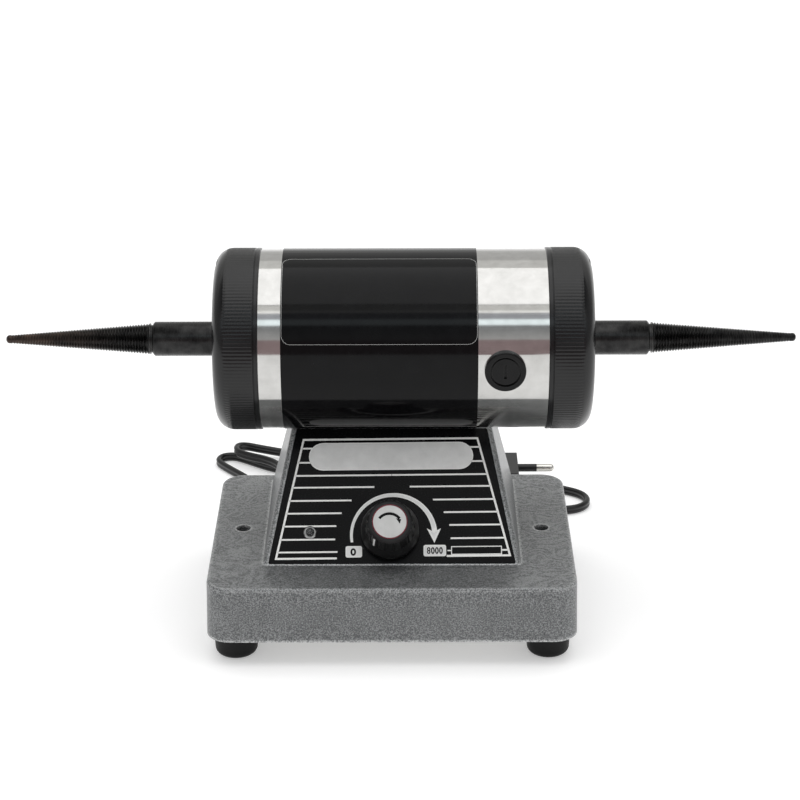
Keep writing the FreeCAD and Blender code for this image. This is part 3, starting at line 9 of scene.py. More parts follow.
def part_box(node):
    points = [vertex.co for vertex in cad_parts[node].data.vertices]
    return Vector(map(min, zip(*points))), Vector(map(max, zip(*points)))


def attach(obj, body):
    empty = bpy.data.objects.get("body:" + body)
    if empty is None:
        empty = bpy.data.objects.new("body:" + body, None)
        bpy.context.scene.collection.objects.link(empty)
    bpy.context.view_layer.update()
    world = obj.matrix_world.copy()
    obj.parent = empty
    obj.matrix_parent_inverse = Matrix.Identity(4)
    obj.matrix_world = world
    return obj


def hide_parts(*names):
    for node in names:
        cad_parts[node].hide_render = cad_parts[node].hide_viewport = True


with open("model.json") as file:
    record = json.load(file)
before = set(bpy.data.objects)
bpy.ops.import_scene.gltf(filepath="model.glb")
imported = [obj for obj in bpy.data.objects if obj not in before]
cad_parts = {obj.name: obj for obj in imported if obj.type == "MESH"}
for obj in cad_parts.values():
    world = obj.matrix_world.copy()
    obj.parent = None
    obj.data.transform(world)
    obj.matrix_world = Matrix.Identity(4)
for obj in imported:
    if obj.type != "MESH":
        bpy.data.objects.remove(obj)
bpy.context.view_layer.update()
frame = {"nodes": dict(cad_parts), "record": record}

MM = 0.001

# Places and sizes of the solids, in millimetres
BASE_X = -4.2               # middle of the base
BASE_TOP = 37.5
PED_FRONT_Y = -38.0
PANEL_TILT = math.radians(40)
PANEL_FACE = 0.4            # the panel plate stands this far above the casting's slope
MOTOR_X = 1.2               # middle of the tube and the caps; the spindles are about x = 0
MOTOR_Y = 12.0
AXIS_HEIGHT = 125.9
TUBE_HALF = 63.0
CAP_R = 40.6
CAP_END = 83.3
CAP_FACE = 3.5
CAP_CORNER = 8.0
CAP_HOLE_R = 8.4
CAP_WALL = 3.0
THROUGH_BOLT_R = 33.0
THROUGH_BOLT_WELL_R = 4.1
THROUGH_BOLT_WELL = 3.0
SHANK_END = 110.6
SHANK_R = 7.7
SHANK_CHAMFER = 0.8
NECK_LENGTH = 1.2
NECK_R = 6.2
THREAD_PITCH = 1.25
SPINDLE_TIP = 176.6
TIP_LENGTH = 1.6
KNOB_X = -0.8
KNOB_S = 15.0
KNOB_TOP = 18.6             # above the casting's slope
CORD_R = 2.3
GLAND_X = -38.0
GLAND_Z = 24.0
GLAND_Y = 62.25
GLAND_LENGTH = 22.0
PLUG_Y = 118.1
PLUG_Z = 11.75
PLUG_ENTRY_X = 4.5

# Relief of the scene's own, in millimetres. The thread's crests stand 0.2 above the solid's
CAP_RIM = 1.9
CAP_GROOVE = 0.2
THREAD_R = 7.0
THREAD_TIP_R = 1.9
THREAD_DEPTH = 0.8
THREAD_TIP_DEPTH = 0.4

# Camera matched to the photograph, in millimetres and degrees, and how far it sees in metres
CAMERA_PLACE = (2.58, -1000.0, 507.04)
CAMERA_PITCH = 22.104
CAMERA_YAW = -0.175
CAMERA_ROLL = -0.224
CAMERA_LENS = 108.756
CAMERA_SENSOR = 36.0
CAMERA_REACH = 20.0


def link(thing):
    bpy.context.scene.collection.objects.link(thing)
    return thing


def camera_axes():
    pitch, yaw, roll = (math.radians(a) for a in (CAMERA_PITCH, CAMERA_YAW, CAMERA_ROLL))
    side = Vector((math.cos(yaw), -math.sin(yaw), 0))
    ahead = Vector((math.sin(yaw) * math.cos(pitch), math.cos(yaw) * math.cos(pitch), -math.sin(pitch)))
    over = side.cross(ahead)
    right = math.cos(roll) * side + math.sin(roll) * over
    up = math.cos(roll) * over - math.sin(roll) * side
    return right, up, ahead


def make_camera():
    right, up, ahead = camera_axes()
    data = bpy.data.cameras.new("camera")
    data.lens = CAMERA_LENS
    data.sensor_width = CAMERA_SENSOR
    data.clip_end = CAMERA_REACH
    camera = link(bpy.data.objects.new("camera", data))
    turn = Matrix((right, up, -ahead)).transposed().to_4x4()
    camera.matrix_world = Matrix.Translation(Vector(CAMERA_PLACE) * MM) @ turn
    bpy.context.scene.camera = camera


make_camera()


# Mains lead as one smooth curve. It takes the solid lead's points, with two folds moved by under 2 mm to
# where the photograph shows them

CORD_DROP = ((-38, 95.5, 24), (-38, 107, 19), (-38, 117.8, 8.8), (-33.2, 126.4, 3.4))
CORD_LANDING = 9.7
# x and y of the middle, degrees it points to, half width, reach, height in, height out
HANK_FOLDS = (
    (40, 106, -22, 13, 14, 2.3, 2.3),
    (-88.6, 157.6, 137, 6.8, 8, 2.3, 2.3),
    (79.5, 108.3, -14, 12.5, 14.5, 2.3, 2.3),
    (-77.4, 160.8, 153, 8.4, 10, 7.6, 4.5),
)
HANK_RUNS = (
    ((-10, 131, 2.3), (2, 130.3, 2.3), (14, 127.8, 2.3), (25, 123.5, 2.3)),
    ((22, 93.5, 2.3), (6, 92.5, 2.3), (-11, 93, 2.3), (-28, 96, 2.3), (-44, 101.5, 2.3),
     (-59, 110.5, 2.3), (-71, 123, 2.3), (-80, 136, 2.3)),
    ((-68, 149.5, 2.3), (-53, 143, 2.3), (-36, 140, 2.3), (-17, 140.5, 2.3), (3, 142.5, 2.3),
     (24, 143, 2.3), (44, 139.5, 2.3), (60, 131.5, 2.3)),
    ((62, 93.5, 2.3), (45, 87.5, 2.3), (26, 85.5, 2.3), (6, 85, 2.6), (-14, 87, 4),
     (-32, 93, 6.6), (-46, 104, 7.6), (-54, 119, 7.6), (-60, 134, 7.6), (-67, 146, 7.6)),
    ((-61, 166, 3.4), (-49, 160, 4.4), (-37, 151.5, 7.2), (-26, 141, 8.2), (-16, 129.5, 9.8)),
)
HANK_TURNS = (-80, -40, 0, 40, 80)
PLUG_APPROACH = (-13.8, 2.76, -0.29)    # the last bend, from where the lead enters the plug
CURVE_ORDER = 3
CURVE_STEPS = 10
LEAD_HALF_THICK = 1.7
LEAD_WAIST = 0.3            # share of the thickness lost between the two cores
LEAD_WAIST_REACH = 0.45     # share of the half width over which it is lost
LEAD_OUTLINE_POINTS = 24


def fold_points(x, y, heading, half, reach, height_in, height_out):
    out = Vector((math.cos(math.radians(heading)), math.sin(math.radians(heading)), 0))
    side = Vector((-out.y, out.x, 0))
    points = []
    for turn in HANK_TURNS:
        angle = math.radians(turn)
        height = height_in + (height_out - height_in) * max(0.0, turn / 90)
        flat = Vector((x, y, 0)) + out * reach * math.cos(angle) - side * half * math.sin(angle)
        points.append(Vector((flat.x, flat.y, height)))
    return points


def cord_route():
    first, second = (Vector(p) for p in HANK_RUNS[0][:2])
    heading = (second - first).normalized()
    start = first - heading * 2 * CORD_R
    route = [Vector((GLAND_X, GLAND_Y + GLAND_LENGTH, GLAND_Z))]
    route += [Vector(p) for p in CORD_DROP]
    route += [start - heading * CORD_LANDING, start]
    for i, run in enumerate(HANK_RUNS):
        route += [Vector(p) for p in run]
        if i < len(HANK_FOLDS):
            route += fold_points(*HANK_FOLDS[i])
    entry = Vector((PLUG_ENTRY_X, PLUG_Y, PLUG_Z))
    return route + [entry + Vector(PLUG_APPROACH), entry - Vector((2 * CORD_R, 0, 0)), entry]


def spline_curve(name, points, closed=False):
    data = bpy.data.curves.new(name, "CURVE")
    data.dimensions = "3D"
    spline = data.splines.new("NURBS")
    spline.points.add(len(points) - 1)
    for point, place in zip(spline.points, points):
        point.co = (*(Vector(place) * MM), 1.0)
    spline.order_u = CURVE_ORDER
    spline.use_cyclic_u = closed
    spline.use_endpoint_u = not closed
    spline.resolution_u = CURVE_STEPS
    return link(bpy.data.objects.new(name, data))


def lead_outline():
    """Two cores side by side: a figure of eight with a shallow waist."""
    points = []
    for i in range(LEAD_OUTLINE_POINTS):
        angle = 2 * math.pi * i / LEAD_OUTLINE_POINTS
        pinch = 1 - LEAD_WAIST * max(0.0, 1 - abs(math.cos(angle)) / LEAD_WAIST_REACH)
        points.append((LEAD_HALF_THICK * math.sin(angle) * pinch, CORD_R * math.cos(angle), 0))
    return points


lead = spline_curve("mains_lead", cord_route())
section = spline_curve("lead_section", lead_outline(), closed=True)
section.hide_render = True
lead.data.bevel_mode = "OBJECT"
lead.data.bevel_object = section
lead.data.twist_mode = "Z_UP"
lead.data.use_fill_caps = True


# Node trees

EDGE_SAMPLES = 6


class Nodes:
    """A node tree, with its nodes added by type."""

    def __init__(self, tree):
        self.tree = tree

    def add(self, kind, **settings):
        node = self.tree.nodes.new(kind)
        for name, value in settings.items():
            setattr(node, name, value)
        return node

    def join(self, start, end):
        self.tree.links.new(start, end)

    def give(self, socket, value):
        """Links the socket to another one, or sets it to a number or a colour."""
        if isinstance(value, bpy.types.NodeSocket):
            self.join(value, socket)
        elif isinstance(value, tuple):
            socket.default_value = (*value, 1.0)
        else:
            socket.default_value = value

    def spread(self, value, low, high, start=0.3, end=0.7):
        """value, from start to end, taken to low to high."""
        node = self.add("ShaderNodeMapRange")
        node.inputs["From Min"].default_value = start
        node.inputs["From Max"].default_value = end
        node.inputs["To Min"].default_value = low
        node.inputs["To Max"].default_value = high
        self.join(value, node.inputs["Value"])
        return node.outputs["Result"]

    def tones(self, value, *stops):
        """A colour ramp with stops of (place, colour)."""
        ramp = self.add("ShaderNodeValToRGB")
        elements = ramp.color_ramp.elements
        while len(elements) < len(stops):
            elements.new(1.0)
        for element, (place, colour) in zip(elements, stops):
            element.position = place
            element.color = (*colour, 1.0)
        self.join(value, ramp.inputs["Fac"])
        return ramp.outputs["Color"]

    def mix(self, share, first, second):
        node = self.add("ShaderNodeMix", data_type="RGBA")
        self.give(node.inputs["Factor"], share)
        self.give(node.inputs["A"], first)
        self.give(node.inputs["B"], second)
        return node.outputs["Result"]

    def sum(self, first, second, share=1.0):
        """first + second x share."""
        node = self.add("ShaderNodeMath", operation="MULTIPLY_ADD")
        self.join(second, node.inputs[0])
        node.inputs[1].default_value = share
        self.join(first, node.inputs[2])
        return node.outputs[0]

    def math(self, operation, first, second=None):
        node = self.add("ShaderNodeMath", operation=operation)
        self.join(first, node.inputs[0])
        if second is not None:
            self.give(node.inputs[1], second)
        return node.outputs[0]

    def part(self, vector, axis):
        apart = self.add("ShaderNodeSeparateXYZ")
        self.join(vector, apart.inputs[0])
        return apart.outputs[axis]

    def rays(self, *kinds):
        """1 for rays of these kinds, 0 for other rays and for the light that falls on things."""
        path = self.add("ShaderNodeLightPath")
        total = None
        for kind in kinds:
            output = path.outputs[f"Is {kind} Ray"]
            total = output if total is None else self.math("MAXIMUM", total, output)
        return total


class Surface(Nodes):
    """A material's node tree round its Principled shader."""

    def __init__(self, name):
        self.material = bpy.data.materials.new(name)
        self.material.use_nodes = True
        super().__init__(self.material.node_tree)
        self.shader = self.tree.nodes["Principled BSDF"]
        self.place = self.add("ShaderNodeTexCoord").outputs["Object"]

    def noise(self, size, detail=4.0, rough=0.55, stretch=(1, 1, 1), warp=0.0):
        """Noise whose grains are about size mm wide, longer where stretch is over 1."""
        mapping = self.add("ShaderNodeMapping")
        mapping.inputs["Scale"].default_value = [1 / (s * size * MM) for s in stretch]
        self.join(self.place, mapping.inputs["Vector"])
        noise = self.add("ShaderNodeTexNoise")
        noise.inputs["Scale"].default_value = 1.0
        noise.inputs["Detail"].default_value = detail
        noise.inputs["Roughness"].default_value = rough
        noise.inputs["Distortion"].default_value = warp
        self.join(mapping.outputs["Vector"], noise.inputs["Vector"])
        return noise.outputs["Fac"]

    def edge(self, radius, low=0.02, high=0.2):
        """1 on the edges, 0 on flat faces; it places edge wear, and on the hammered paint also a painted
        highlight.
        """
        bevel = self.add("ShaderNodeBevel", samples=EDGE_SAMPLES)
        bevel.inputs["Radius"].default_value = radius * MM
        geometry = self.add("ShaderNodeNewGeometry")
        dot = self.add("ShaderNodeVectorMath", operation="DOT_PRODUCT")
        self.join(bevel.outputs["Normal"], dot.inputs[0])
        self.join(geometry.outputs["Normal"], dot.inputs[1])
        return self.spread(dot.outputs["Value"], 1.0, 0.0, 1 - high, 1 - low)

    def bump(self, height, depth, strength):
        node = self.add("ShaderNodeBump")
        node.inputs["Distance"].default_value = depth * MM
        node.inputs["Strength"].default_value = strength
        self.join(height, node.inputs["Height"])
        self.join(node.outputs["Normal"], self.shader.inputs["Normal"])

    def set(self, **values):
        for name, value in values.items():
            self.give(self.shader.inputs[name.replace("_", " ")], value)


# Materials

WHITE = (1.0, 1.0, 1.0)
PAINT_DARK = (0.06, 0.064, 0.066)
PAINT_MIDDLE = (0.138, 0.143, 0.146)
PAINT_LIGHT = (0.29, 0.298, 0.3)
# Light tone of the paint's edges: partly worn paint, partly a painted highlight
PAINT_WORN_AND_HIGHLIGHT = (0.72, 0.73, 0.73)
OXIDE_DARK = (0.014, 0.014, 0.0145)
OXIDE_LIGHT = (0.05, 0.0495, 0.049)
OXIDE_WORN = (0.12, 0.115, 0.11)
OXIDE_BROWN = (0.11, 0.07, 0.05)
INK = ((0.0022, 0.0022, 0.0026), (0.0045, 0.0045, 0.005))
SOOT = ((0.003, 0.003, 0.0032), (0.007, 0.007, 0.0072))
# How far tool marks run in x, y and z, as times their width
AROUND_X = (0.6, 12, 12)
ALONG_X = (40, 1, 1)
# Grains, clouds and wrinkles of the hammered paint in millimetres
FLECK_SIZE = 0.62
CLOUD_SIZE = 16.0
WRINKLE_SIZE = 13.0
WRINKLE_LINES = 60.0
POOL_START, POOL_END = 0.038, 0.062     # metres aside from the base's middle
BROWN_TIP, BROWN_END = -0.172, -0.125   # metres, x of the browned part of the left spindle


def hammered_paint():
    """Silver-grey hammer paint: fine light and dark flecks, flowing wrinkles where it pooled on top, and light
    edges that are partly worn paint and partly a painted highlight.
    """
    n = Surface("hammered_paint")
    flecks = n.spread(n.noise(FLECK_SIZE, 2.0, 0.6), 0.0, 1.0, 0.32, 0.68)
    clouds = n.noise(CLOUD_SIZE, 2.0)
    ridges = n.noise(WRINKLE_SIZE, 1.0, stretch=(1.5, 1, 1), warp=0.7)
    contours = n.math("SINE", n.math("MULTIPLY", ridges, WRINKLE_LINES))
    facing_up = n.spread(n.part(n.add("ShaderNodeNewGeometry").outputs["Normal"], "Z"), 0.0, 1.0, 0.7, 0.95)
    aside = n.math("ABSOLUTE", n.math("SUBTRACT", n.part(n.place, "X"), BASE_X * MM))
    pooled = n.math("MULTIPLY", facing_up, n.spread(aside, 0.15, 1.0, POOL_START, POOL_END))
    wrinkles = n.math("MULTIPLY", n.spread(contours, 0.0, 1.0, -1.0, 1.0), pooled)
    tone = n.sum(n.sum(flecks, wrinkles, 0.3), clouds, 0.3)
    body = n.tones(tone, (0.15, PAINT_DARK), (0.62, PAINT_MIDDLE), (1.0, PAINT_LIGHT))
    # Light edges and the panel's border: partly worn paint, partly a painted highlight along the edges
    worn = n.math("MULTIPLY", n.edge(2.6, 0.006, 0.1), n.spread(flecks, 0.2, 1.0, 0.15, 0.7))
    n.set(Base_Color=n.mix(worn, body, PAINT_WORN_AND_HIGHLIGHT), Roughness=n.spread(flecks, 0.3, 0.46, 0.0, 1.0),
          Metallic=0.35, Coat_Weight=0.25, Coat_Roughness=0.15)
    n.bump(n.sum(flecks, wrinkles, 2.2), 0.1, 0.9)
    return n.material


def moulded(name, dark, light, rough=(0.4, 0.55), size=1.2, depth=0.03, shine=0.4, worn=None):
    """Plastic, rubber or paint with a fine grain and faint mottling. worn is the tone of its edges."""
    n = Surface(name)
    mottle = n.noise(9.0, 3.0)
    grain = n.noise(size, 3.0)
    body = n.tones(n.sum(mottle, grain, 0.3), (0.4, dark), (0.9, light))
    if worn:
        body = n.mix(n.edge(0.4), body, worn)
    n.set(Base_Color=body, Roughness=n.spread(grain, *rough), Specular_IOR_Level=shine)
    n.bump(grain, depth, 0.5)
    return n.material


def metal(name, dark, light, rough=(0.15, 0.3), stretch=(1, 1, 1), size=0.5, depth=0.01,
          metallic=1.0, drawn=0.0):
    """Metal with fine tool marks, long where stretch is over 1, and a clouded tone.
    Drawn metal smears what it reflects along the X axis."""
    n = Surface(name)
    marks = n.noise(size, 3.0, stretch=stretch)
    cloud = n.noise(6.0, 3.0)
    body = n.tones(n.sum(cloud, marks, 0.25), (0.35, dark), (0.85, light))
    n.set(Base_Color=body, Metallic=metallic, Roughness=n.spread(marks, *rough))
    if drawn:
        tangent = n.add("ShaderNodeTangent", direction_type="RADIAL", axis="X")
        n.join(tangent.outputs["Tangent"], n.shader.inputs["Tangent"])
        n.set(Anisotropic=drawn, Anisotropic_Rotation=0.25)
    n.bump(marks, depth, 0.4)
    return n.material


def oxide():
    """Blackened steel, browner with use towards the left spindle's tip."""
    n = Surface("black_oxide")
    marks = n.noise(0.4, 3.0, stretch=AROUND_X)
    cloud = n.noise(5.0, 3.0)
    black = n.tones(n.sum(cloud, marks, 0.25), (0.35, OXIDE_DARK), (0.85, OXIDE_LIGHT))
    towards_tip = n.spread(n.part(n.place, "X"), 0.8, 0.0, BROWN_TIP, BROWN_END)
    body = n.mix(n.math("MULTIPLY", towards_tip, n.spread(cloud, 0.1, 1.0)), black, OXIDE_BROWN)
    n.set(Base_Color=n.mix(n.edge(0.25), body, OXIDE_WORN), Metallic=1.0,
          Roughness=n.spread(marks, 0.22, 0.38))
    n.bump(marks, 0.01, 0.4)
    return n.material


def clear_lens():
    """Water-clear plastic, faintly clouded, over the dark lamp inside."""
    n = Surface("clear_lens")
    cloud = n.noise(0.8)
    n.set(Base_Color=n.tones(cloud, (0.3, (0.34, 0.35, 0.36)), (0.7, (0.6, 0.61, 0.62))),
          Roughness=n.spread(cloud, 0.02, 0.08), Transmission_Weight=0.9, IOR=1.5)
    n.bump(cloud, 0.02, 0.3)
    return n.material


finishes = {
    "hammered_paint": hammered_paint(),
    "black_paint": moulded("black_paint", *INK, (0.18, 0.27), 0.6, 0.015, 0.42),
    "polished_steel": metal("polished_steel", (0.50, 0.495, 0.48), (0.60, 0.595, 0.58), (0.12, 0.17), ALONG_X,
                            0.4, 0.004, drawn=0.9),
    "black_film": moulded("black_film", *INK, (0.08, 0.15), 2.0, 0.006, 0.15),
    "panel": moulded("panel", *INK, (0.2, 0.3), 0.8, 0.01, 0.12),
    "black_oxide": oxide(),
    "rubber": moulded("rubber", *SOOT, (0.4, 0.6), 0.7, 0.05, 0.22),
    "zinc_steel": metal("zinc_steel", (0.42, 0.42, 0.41), (0.62, 0.61, 0.58), (0.25, 0.4)),
    "bearing_steel": metal("bearing_steel", (0.5, 0.5, 0.5), (0.66, 0.66, 0.65), (0.12, 0.25), AROUND_X),
    "lamination": metal("lamination", (0.16, 0.16, 0.17), (0.3, 0.29, 0.28), (0.35, 0.55), (0.4, 10, 10),
                        0.5, 0.04),
    "copper": metal("copper", (0.45, 0.17, 0.08), (0.75, 0.36, 0.2), (0.2, 0.35), ALONG_X, 0.5, 0.05),
    "ferrite": moulded("ferrite", (0.04, 0.04, 0.042), (0.09, 0.088, 0.085), (0.5, 0.7), 0.6, 0.04),
    "phenolic": moulded("phenolic", *SOOT, (0.16, 0.28), 1.5, 0.01, 0.2, worn=(0.03, 0.03, 0.03)),
    "brass": metal("brass", (0.52, 0.38, 0.14), (0.75, 0.58, 0.27), (0.2, 0.35)),
    "moulded_plastic": moulded("moulded_plastic", (0.02, 0.035, 0.024), (0.05, 0.075, 0.05)),
    "knob_plastic": moulded("knob_plastic", *SOOT, (0.28, 0.4), 0.5, 0.02, 0.35, worn=(0.02, 0.02, 0.02)),
    "knob_white": moulded("knob_white", (0.86, 0.86, 0.84), (0.94, 0.94, 0.92)),
    "knob_maroon": moulded("knob_maroon", (0.12, 0.01, 0.02), (0.2, 0.02, 0.035), (0.2, 0.3)),
    "knob_face": metal("knob_face", (0.5, 0.5, 0.49), (0.6, 0.6, 0.59), (0.34, 0.46), metallic=0.25),
    "aluminium": metal("aluminium", (0.6, 0.6, 0.6), (0.75, 0.75, 0.75), (0.25, 0.4), ALONG_X),
    "clear_lens": clear_lens(),
    "chrome": metal("chrome", (0.2, 0.2, 0.2), (0.34, 0.34, 0.34), (0.1, 0.2)),
    "cord_pvc": moulded("cord_pvc", *SOOT, (0.3, 0.4), 0.5, 0.01, 0.5),
    "nickel": metal("nickel", (0.55, 0.54, 0.51), (0.74, 0.72, 0.68), (0.1, 0.2)),
}
silver_print = metal("silver_print", (0.72, 0.72, 0.71), (0.84, 0.84, 0.83), (0.36, 0.5), metallic=0.1)
node_slot = {part["node"]: part["material_slot"] for part in frame["record"]["subparts"]}
for name, piece in frame["nodes"].items():
    piece.data.materials.clear()
    piece.data.materials.append(finishes[node_slot[name]])


# Pieces

WELD = 1e-7                 # metres, points nearer than this are one


def dress(piece, slot, body="housing", finish=None):
    piece.data.materials.append(finish or finishes[slot])
    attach(piece, body)
    return piece


def built_mesh(name, points, faces, sharp=None):
    """A mesh from points in millimetres, smooth where its faces meet at fewer degrees than sharp."""
    mesh = bpy.data.meshes.new(name)
    mesh.from_pydata([Vector(p) * MM for p in points], [], faces)
    work = bmesh.new()
    work.from_mesh(mesh)
    bmesh.ops.remove_doubles(work, verts=work.verts, dist=WELD)
    bmesh.ops.recalc_face_normals(work, faces=work.faces)
    if sharp is not None:
        for edge in work.edges:
            edge.smooth = len(edge.link_faces) == 2 and edge.calc_face_angle(0.0) <= math.radians(sharp)
        for face in work.faces:
            face.smooth = True
    work.to_mesh(mesh)
    work.free()
    return mesh


def mesh_piece(name, points, faces, slot, body="housing", sharp=35.0, finish=None):
    mesh = built_mesh(name, points, faces, sharp)
    return dress(link(bpy.data.objects.new(name, mesh)), slot, body, finish)


dress(lead, "cord_pvc")
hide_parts("power_cord", "cord_hank")


# Turned pieces about the motor's axis

def turned(rings, middle, closed_ends=True):
    """Points and faces from rings of (x from the middle, [radius per step round the axis])."""
    points, faces = [], []
    steps = len(rings[0][1])
    for x, radii in rings:
        for i, radius in enumerate(radii):
            angle = 2 * math.pi * i / steps
            y = MOTOR_Y + radius * math.cos(angle)
            points.append((middle + x, y, AXIS_HEIGHT + radius * math.sin(angle)))
    for k in range(len(rings) - 1):
        for i in range(steps):
            j = (i + 1) % steps
            faces.append((k * steps + i, k * steps + j, (k + 1) * steps + j, (k + 1) * steps + i))
    if closed_ends:
        faces.append(tuple(range(steps)))
        faces.append(tuple((len(rings) - 1) * steps + i for i in range(steps)))
    return points, faces


THREAD_STEPS = 36           # points round one turn of the thread
THREAD_ROWS = 8             # rows of points in one pitch
SHANK_INSIDE = 3.0          # length of shank inside the end cap
TIP_STEPS = 6
TIP_DEGREES = 87            # the domed tip ends here, in a small flat
SPINDLE_SHARP = 50


def spindle(side):
    """A plain shank, a neck and a conical wood-screw thread. side is -1 on the left and 1 on the right."""
    def plain(x, radius):
        return side * x, [radius] * THREAD_STEPS

    cone_start = SHANK_END + NECK_LENGTH
    cone_end = SPINDLE_TIP - TIP_LENGTH
    rings = [plain(CAP_END - SHANK_INSIDE, SHANK_R), plain(SHANK_END - SHANK_CHAMFER, SHANK_R),
             plain(SHANK_END, SHANK_R - SHANK_CHAMFER), plain(SHANK_END, NECK_R), plain(cone_start, NECK_R)]
    rows = round((cone_end - cone_start) / THREAD_PITCH * THREAD_ROWS)
    for row in range(rows + 1):
        x = cone_start + (cone_end - cone_start) * row / rows
        crest = THREAD_R + (THREAD_TIP_R - THREAD_R) * row / rows
        depth = THREAD_DEPTH + (THREAD_TIP_DEPTH - THREAD_DEPTH) * row / rows
        fade = min(1.0, row / THREAD_ROWS, (rows - row) / THREAD_ROWS)
        radii = []
        for i in range(THREAD_STEPS):
            turn = (x / THREAD_PITCH + i / THREAD_STEPS) % 1.0
            groove = 1 - abs(2 * turn - 1)
            radii.append(crest - fade * depth * groove)
        rings.append((side * x, radii))
    for i in range(1, TIP_STEPS + 1):
        angle = math.radians(TIP_DEGREES * i / TIP_STEPS)
        along = TIP_LENGTH * math.sin(angle) / math.sin(math.radians(TIP_DEGREES))
        rings.append(plain(cone_end + along, THREAD_TIP_R * math.cos(angle)))
    return turned(rings, 0.0)


for side, name in ((-1, "left_spindle"), (1, "right_spindle")):
    piece = mesh_piece(name + "_threaded", *spindle(side), "black_oxide", "rotor", sharp=SPINDLE_SHARP)
    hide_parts(name)


CAP_CHAMFER = 0.3
GROOVE_SLOPE = 0.15
GROOVE_FLOOR = 0.25
CAP_HOLE_CHAMFER = 0.5
CAP_CORNER_STEPS = 12
RIBS = 160                  # round the end cap
RIB_STEPS = 4
RIB_DEPTH = 0.17
RIB_START = 65.5            # from the motor's middle
RIB_END = 78.2
RIB_RAMP = 0.4
RIB_ROWS = 5                # rows of points where the ribs run over the corner
RIB_ROW = 0.6


def cap_outside(x):
    """Radius of the cap's outside at x from the motor's middle."""
    past_corner = max(0.0, x - (CAP_END - CAP_CORNER))
    return CAP_R - CAP_CORNER + math.sqrt(CAP_CORNER ** 2 - past_corner ** 2)


def end_cap(side):
    """Bell with a plain rim, a shallow line, fine ribs along the axis and a rounded corner."""
    steps = RIBS * RIB_STEPS

    def plain(x, radius):
        return side * x, [radius] * steps

    def ribbed(x, depth):
        dips = [depth * (0.5 - 0.5 * math.cos(2 * math.pi * i / RIB_STEPS)) for i in range(steps)]
        return side * x, [cap_outside(x) - dip for dip in dips]

    rim = TUBE_HALF + CAP_RIM
    rim_end = rim + GROOVE_FLOOR
    inside = CAP_R - CAP_WALL
    rings = [plain(TUBE_HALF, inside), plain(TUBE_HALF, CAP_R - CAP_CHAMFER),
             plain(TUBE_HALF + CAP_CHAMFER, CAP_R), plain(rim - GROOVE_SLOPE, CAP_R),
             plain(rim, CAP_R - CAP_GROOVE), plain(rim_end, CAP_R - CAP_GROOVE),
             plain(rim_end + GROOVE_SLOPE, CAP_R), ribbed(RIB_START, 0.0), ribbed(RIB_START + RIB_RAMP, RIB_DEPTH)]
    corner = CAP_END - CAP_CORNER
    rings += [ribbed(corner + RIB_ROW * i, RIB_DEPTH) for i in range(RIB_ROWS)]
    rings += [ribbed(RIB_END - RIB_RAMP, RIB_DEPTH), ribbed(RIB_END, 0.0)]
    rib_end_angle = math.degrees(math.asin((RIB_END - corner) / CAP_CORNER))
    for i in range(1, CAP_CORNER_STEPS + 1):
        angle = math.radians(rib_end_angle + (90 - rib_end_angle) * i / CAP_CORNER_STEPS)
        radius = CAP_R - CAP_CORNER + CAP_CORNER * math.cos(angle)
        rings.append(plain(corner + CAP_CORNER * math.sin(angle), radius))
    face = CAP_END - CAP_FACE
    rings += [plain(CAP_END, CAP_HOLE_R + CAP_HOLE_CHAMFER), plain(CAP_END - CAP_HOLE_CHAMFER, CAP_HOLE_R),
              plain(face, CAP_HOLE_R), plain(face, inside), plain(TUBE_HALF, inside)]
    return turned(rings, MOTOR_X, closed_ends=False)


WELL_STEPS = 32
WELL_CUTTER_PAST = 2.0      # how far the cutter stands out of the cap


def well_cutter(side):
    """Two short round plugs where the long motor bolts' heads sit."""
    points, faces = [], []
    for height in (-THROUGH_BOLT_R, THROUGH_BOLT_R):
        first = len(points)
        for x in (CAP_END - THROUGH_BOLT_WELL, CAP_END + WELL_CUTTER_PAST):
            for i in range(WELL_STEPS):
                angle = 2 * math.pi * i / WELL_STEPS
                points.append((MOTOR_X + side * x, MOTOR_Y + THROUGH_BOLT_WELL_R * math.cos(angle),
                               AXIS_HEIGHT + height + THROUGH_BOLT_WELL_R * math.sin(angle)))
        near = list(range(first, first + WELL_STEPS))
        far = [i + WELL_STEPS for i in near]
        for i in range(WELL_STEPS):
            j = (i + 1) % WELL_STEPS
            faces.append((near[i], near[j], far[j], far[i]))
        faces.append(tuple(reversed(near)))
        faces.append(tuple(far))
    return points, faces


def cut(piece, points, faces):
    cutter = link(bpy.data.objects.new("cutter", built_mesh("cutter", points, faces)))
    boolean = piece.modifiers.new("cut", "BOOLEAN")
    boolean.operation = "DIFFERENCE"
    boolean.object = cutter
    shown = piece.evaluated_get(bpy.context.evaluated_depsgraph_get())
    result = bpy.data.meshes.new_from_object(shown)
    piece.modifiers.clear()
    piece.data = result
    bpy.data.objects.remove(cutter)


for side, name in ((-1, "left_end_cap"), (1, "right_end_cap")):
    piece = mesh_piece(name + "_ribbed", *end_cap(side), "black_paint")
    cut(piece, *well_cutter(side))
    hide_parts(name)


# Prints on the control panel: thin raised strips and plates

ALONG = Vector((0, math.sin(PANEL_TILT), math.cos(PANEL_TILT)))
OUT = Vector((0, -math.cos(PANEL_TILT), math.sin(PANEL_TILT)))
PRINT_TURN = math.radians(0.45)
PRINT_MIDDLE_S = 30.0
PRINT_SHARP = 20
CORNER_STEPS = 6
MITRE_LIMIT = 0.3


def panel_point(x, s, lift):
    """A point on the panel: x from the base's middle, s up the slope, lift above the casting's slope."""
    return Vector((BASE_X + x, PED_FRONT_Y, BASE_TOP)) + ALONG * s + OUT * lift


def print_point(x, s, lift):
    """A point of the panel's print, which sits a little turned on the panel."""
    above = s - PRINT_MIDDLE_S
    return panel_point(x * math.cos(PRINT_TURN) - above * math.sin(PRINT_TURN),
                       PRINT_MIDDLE_S + x * math.sin(PRINT_TURN) + above * math.cos(PRINT_TURN), lift)


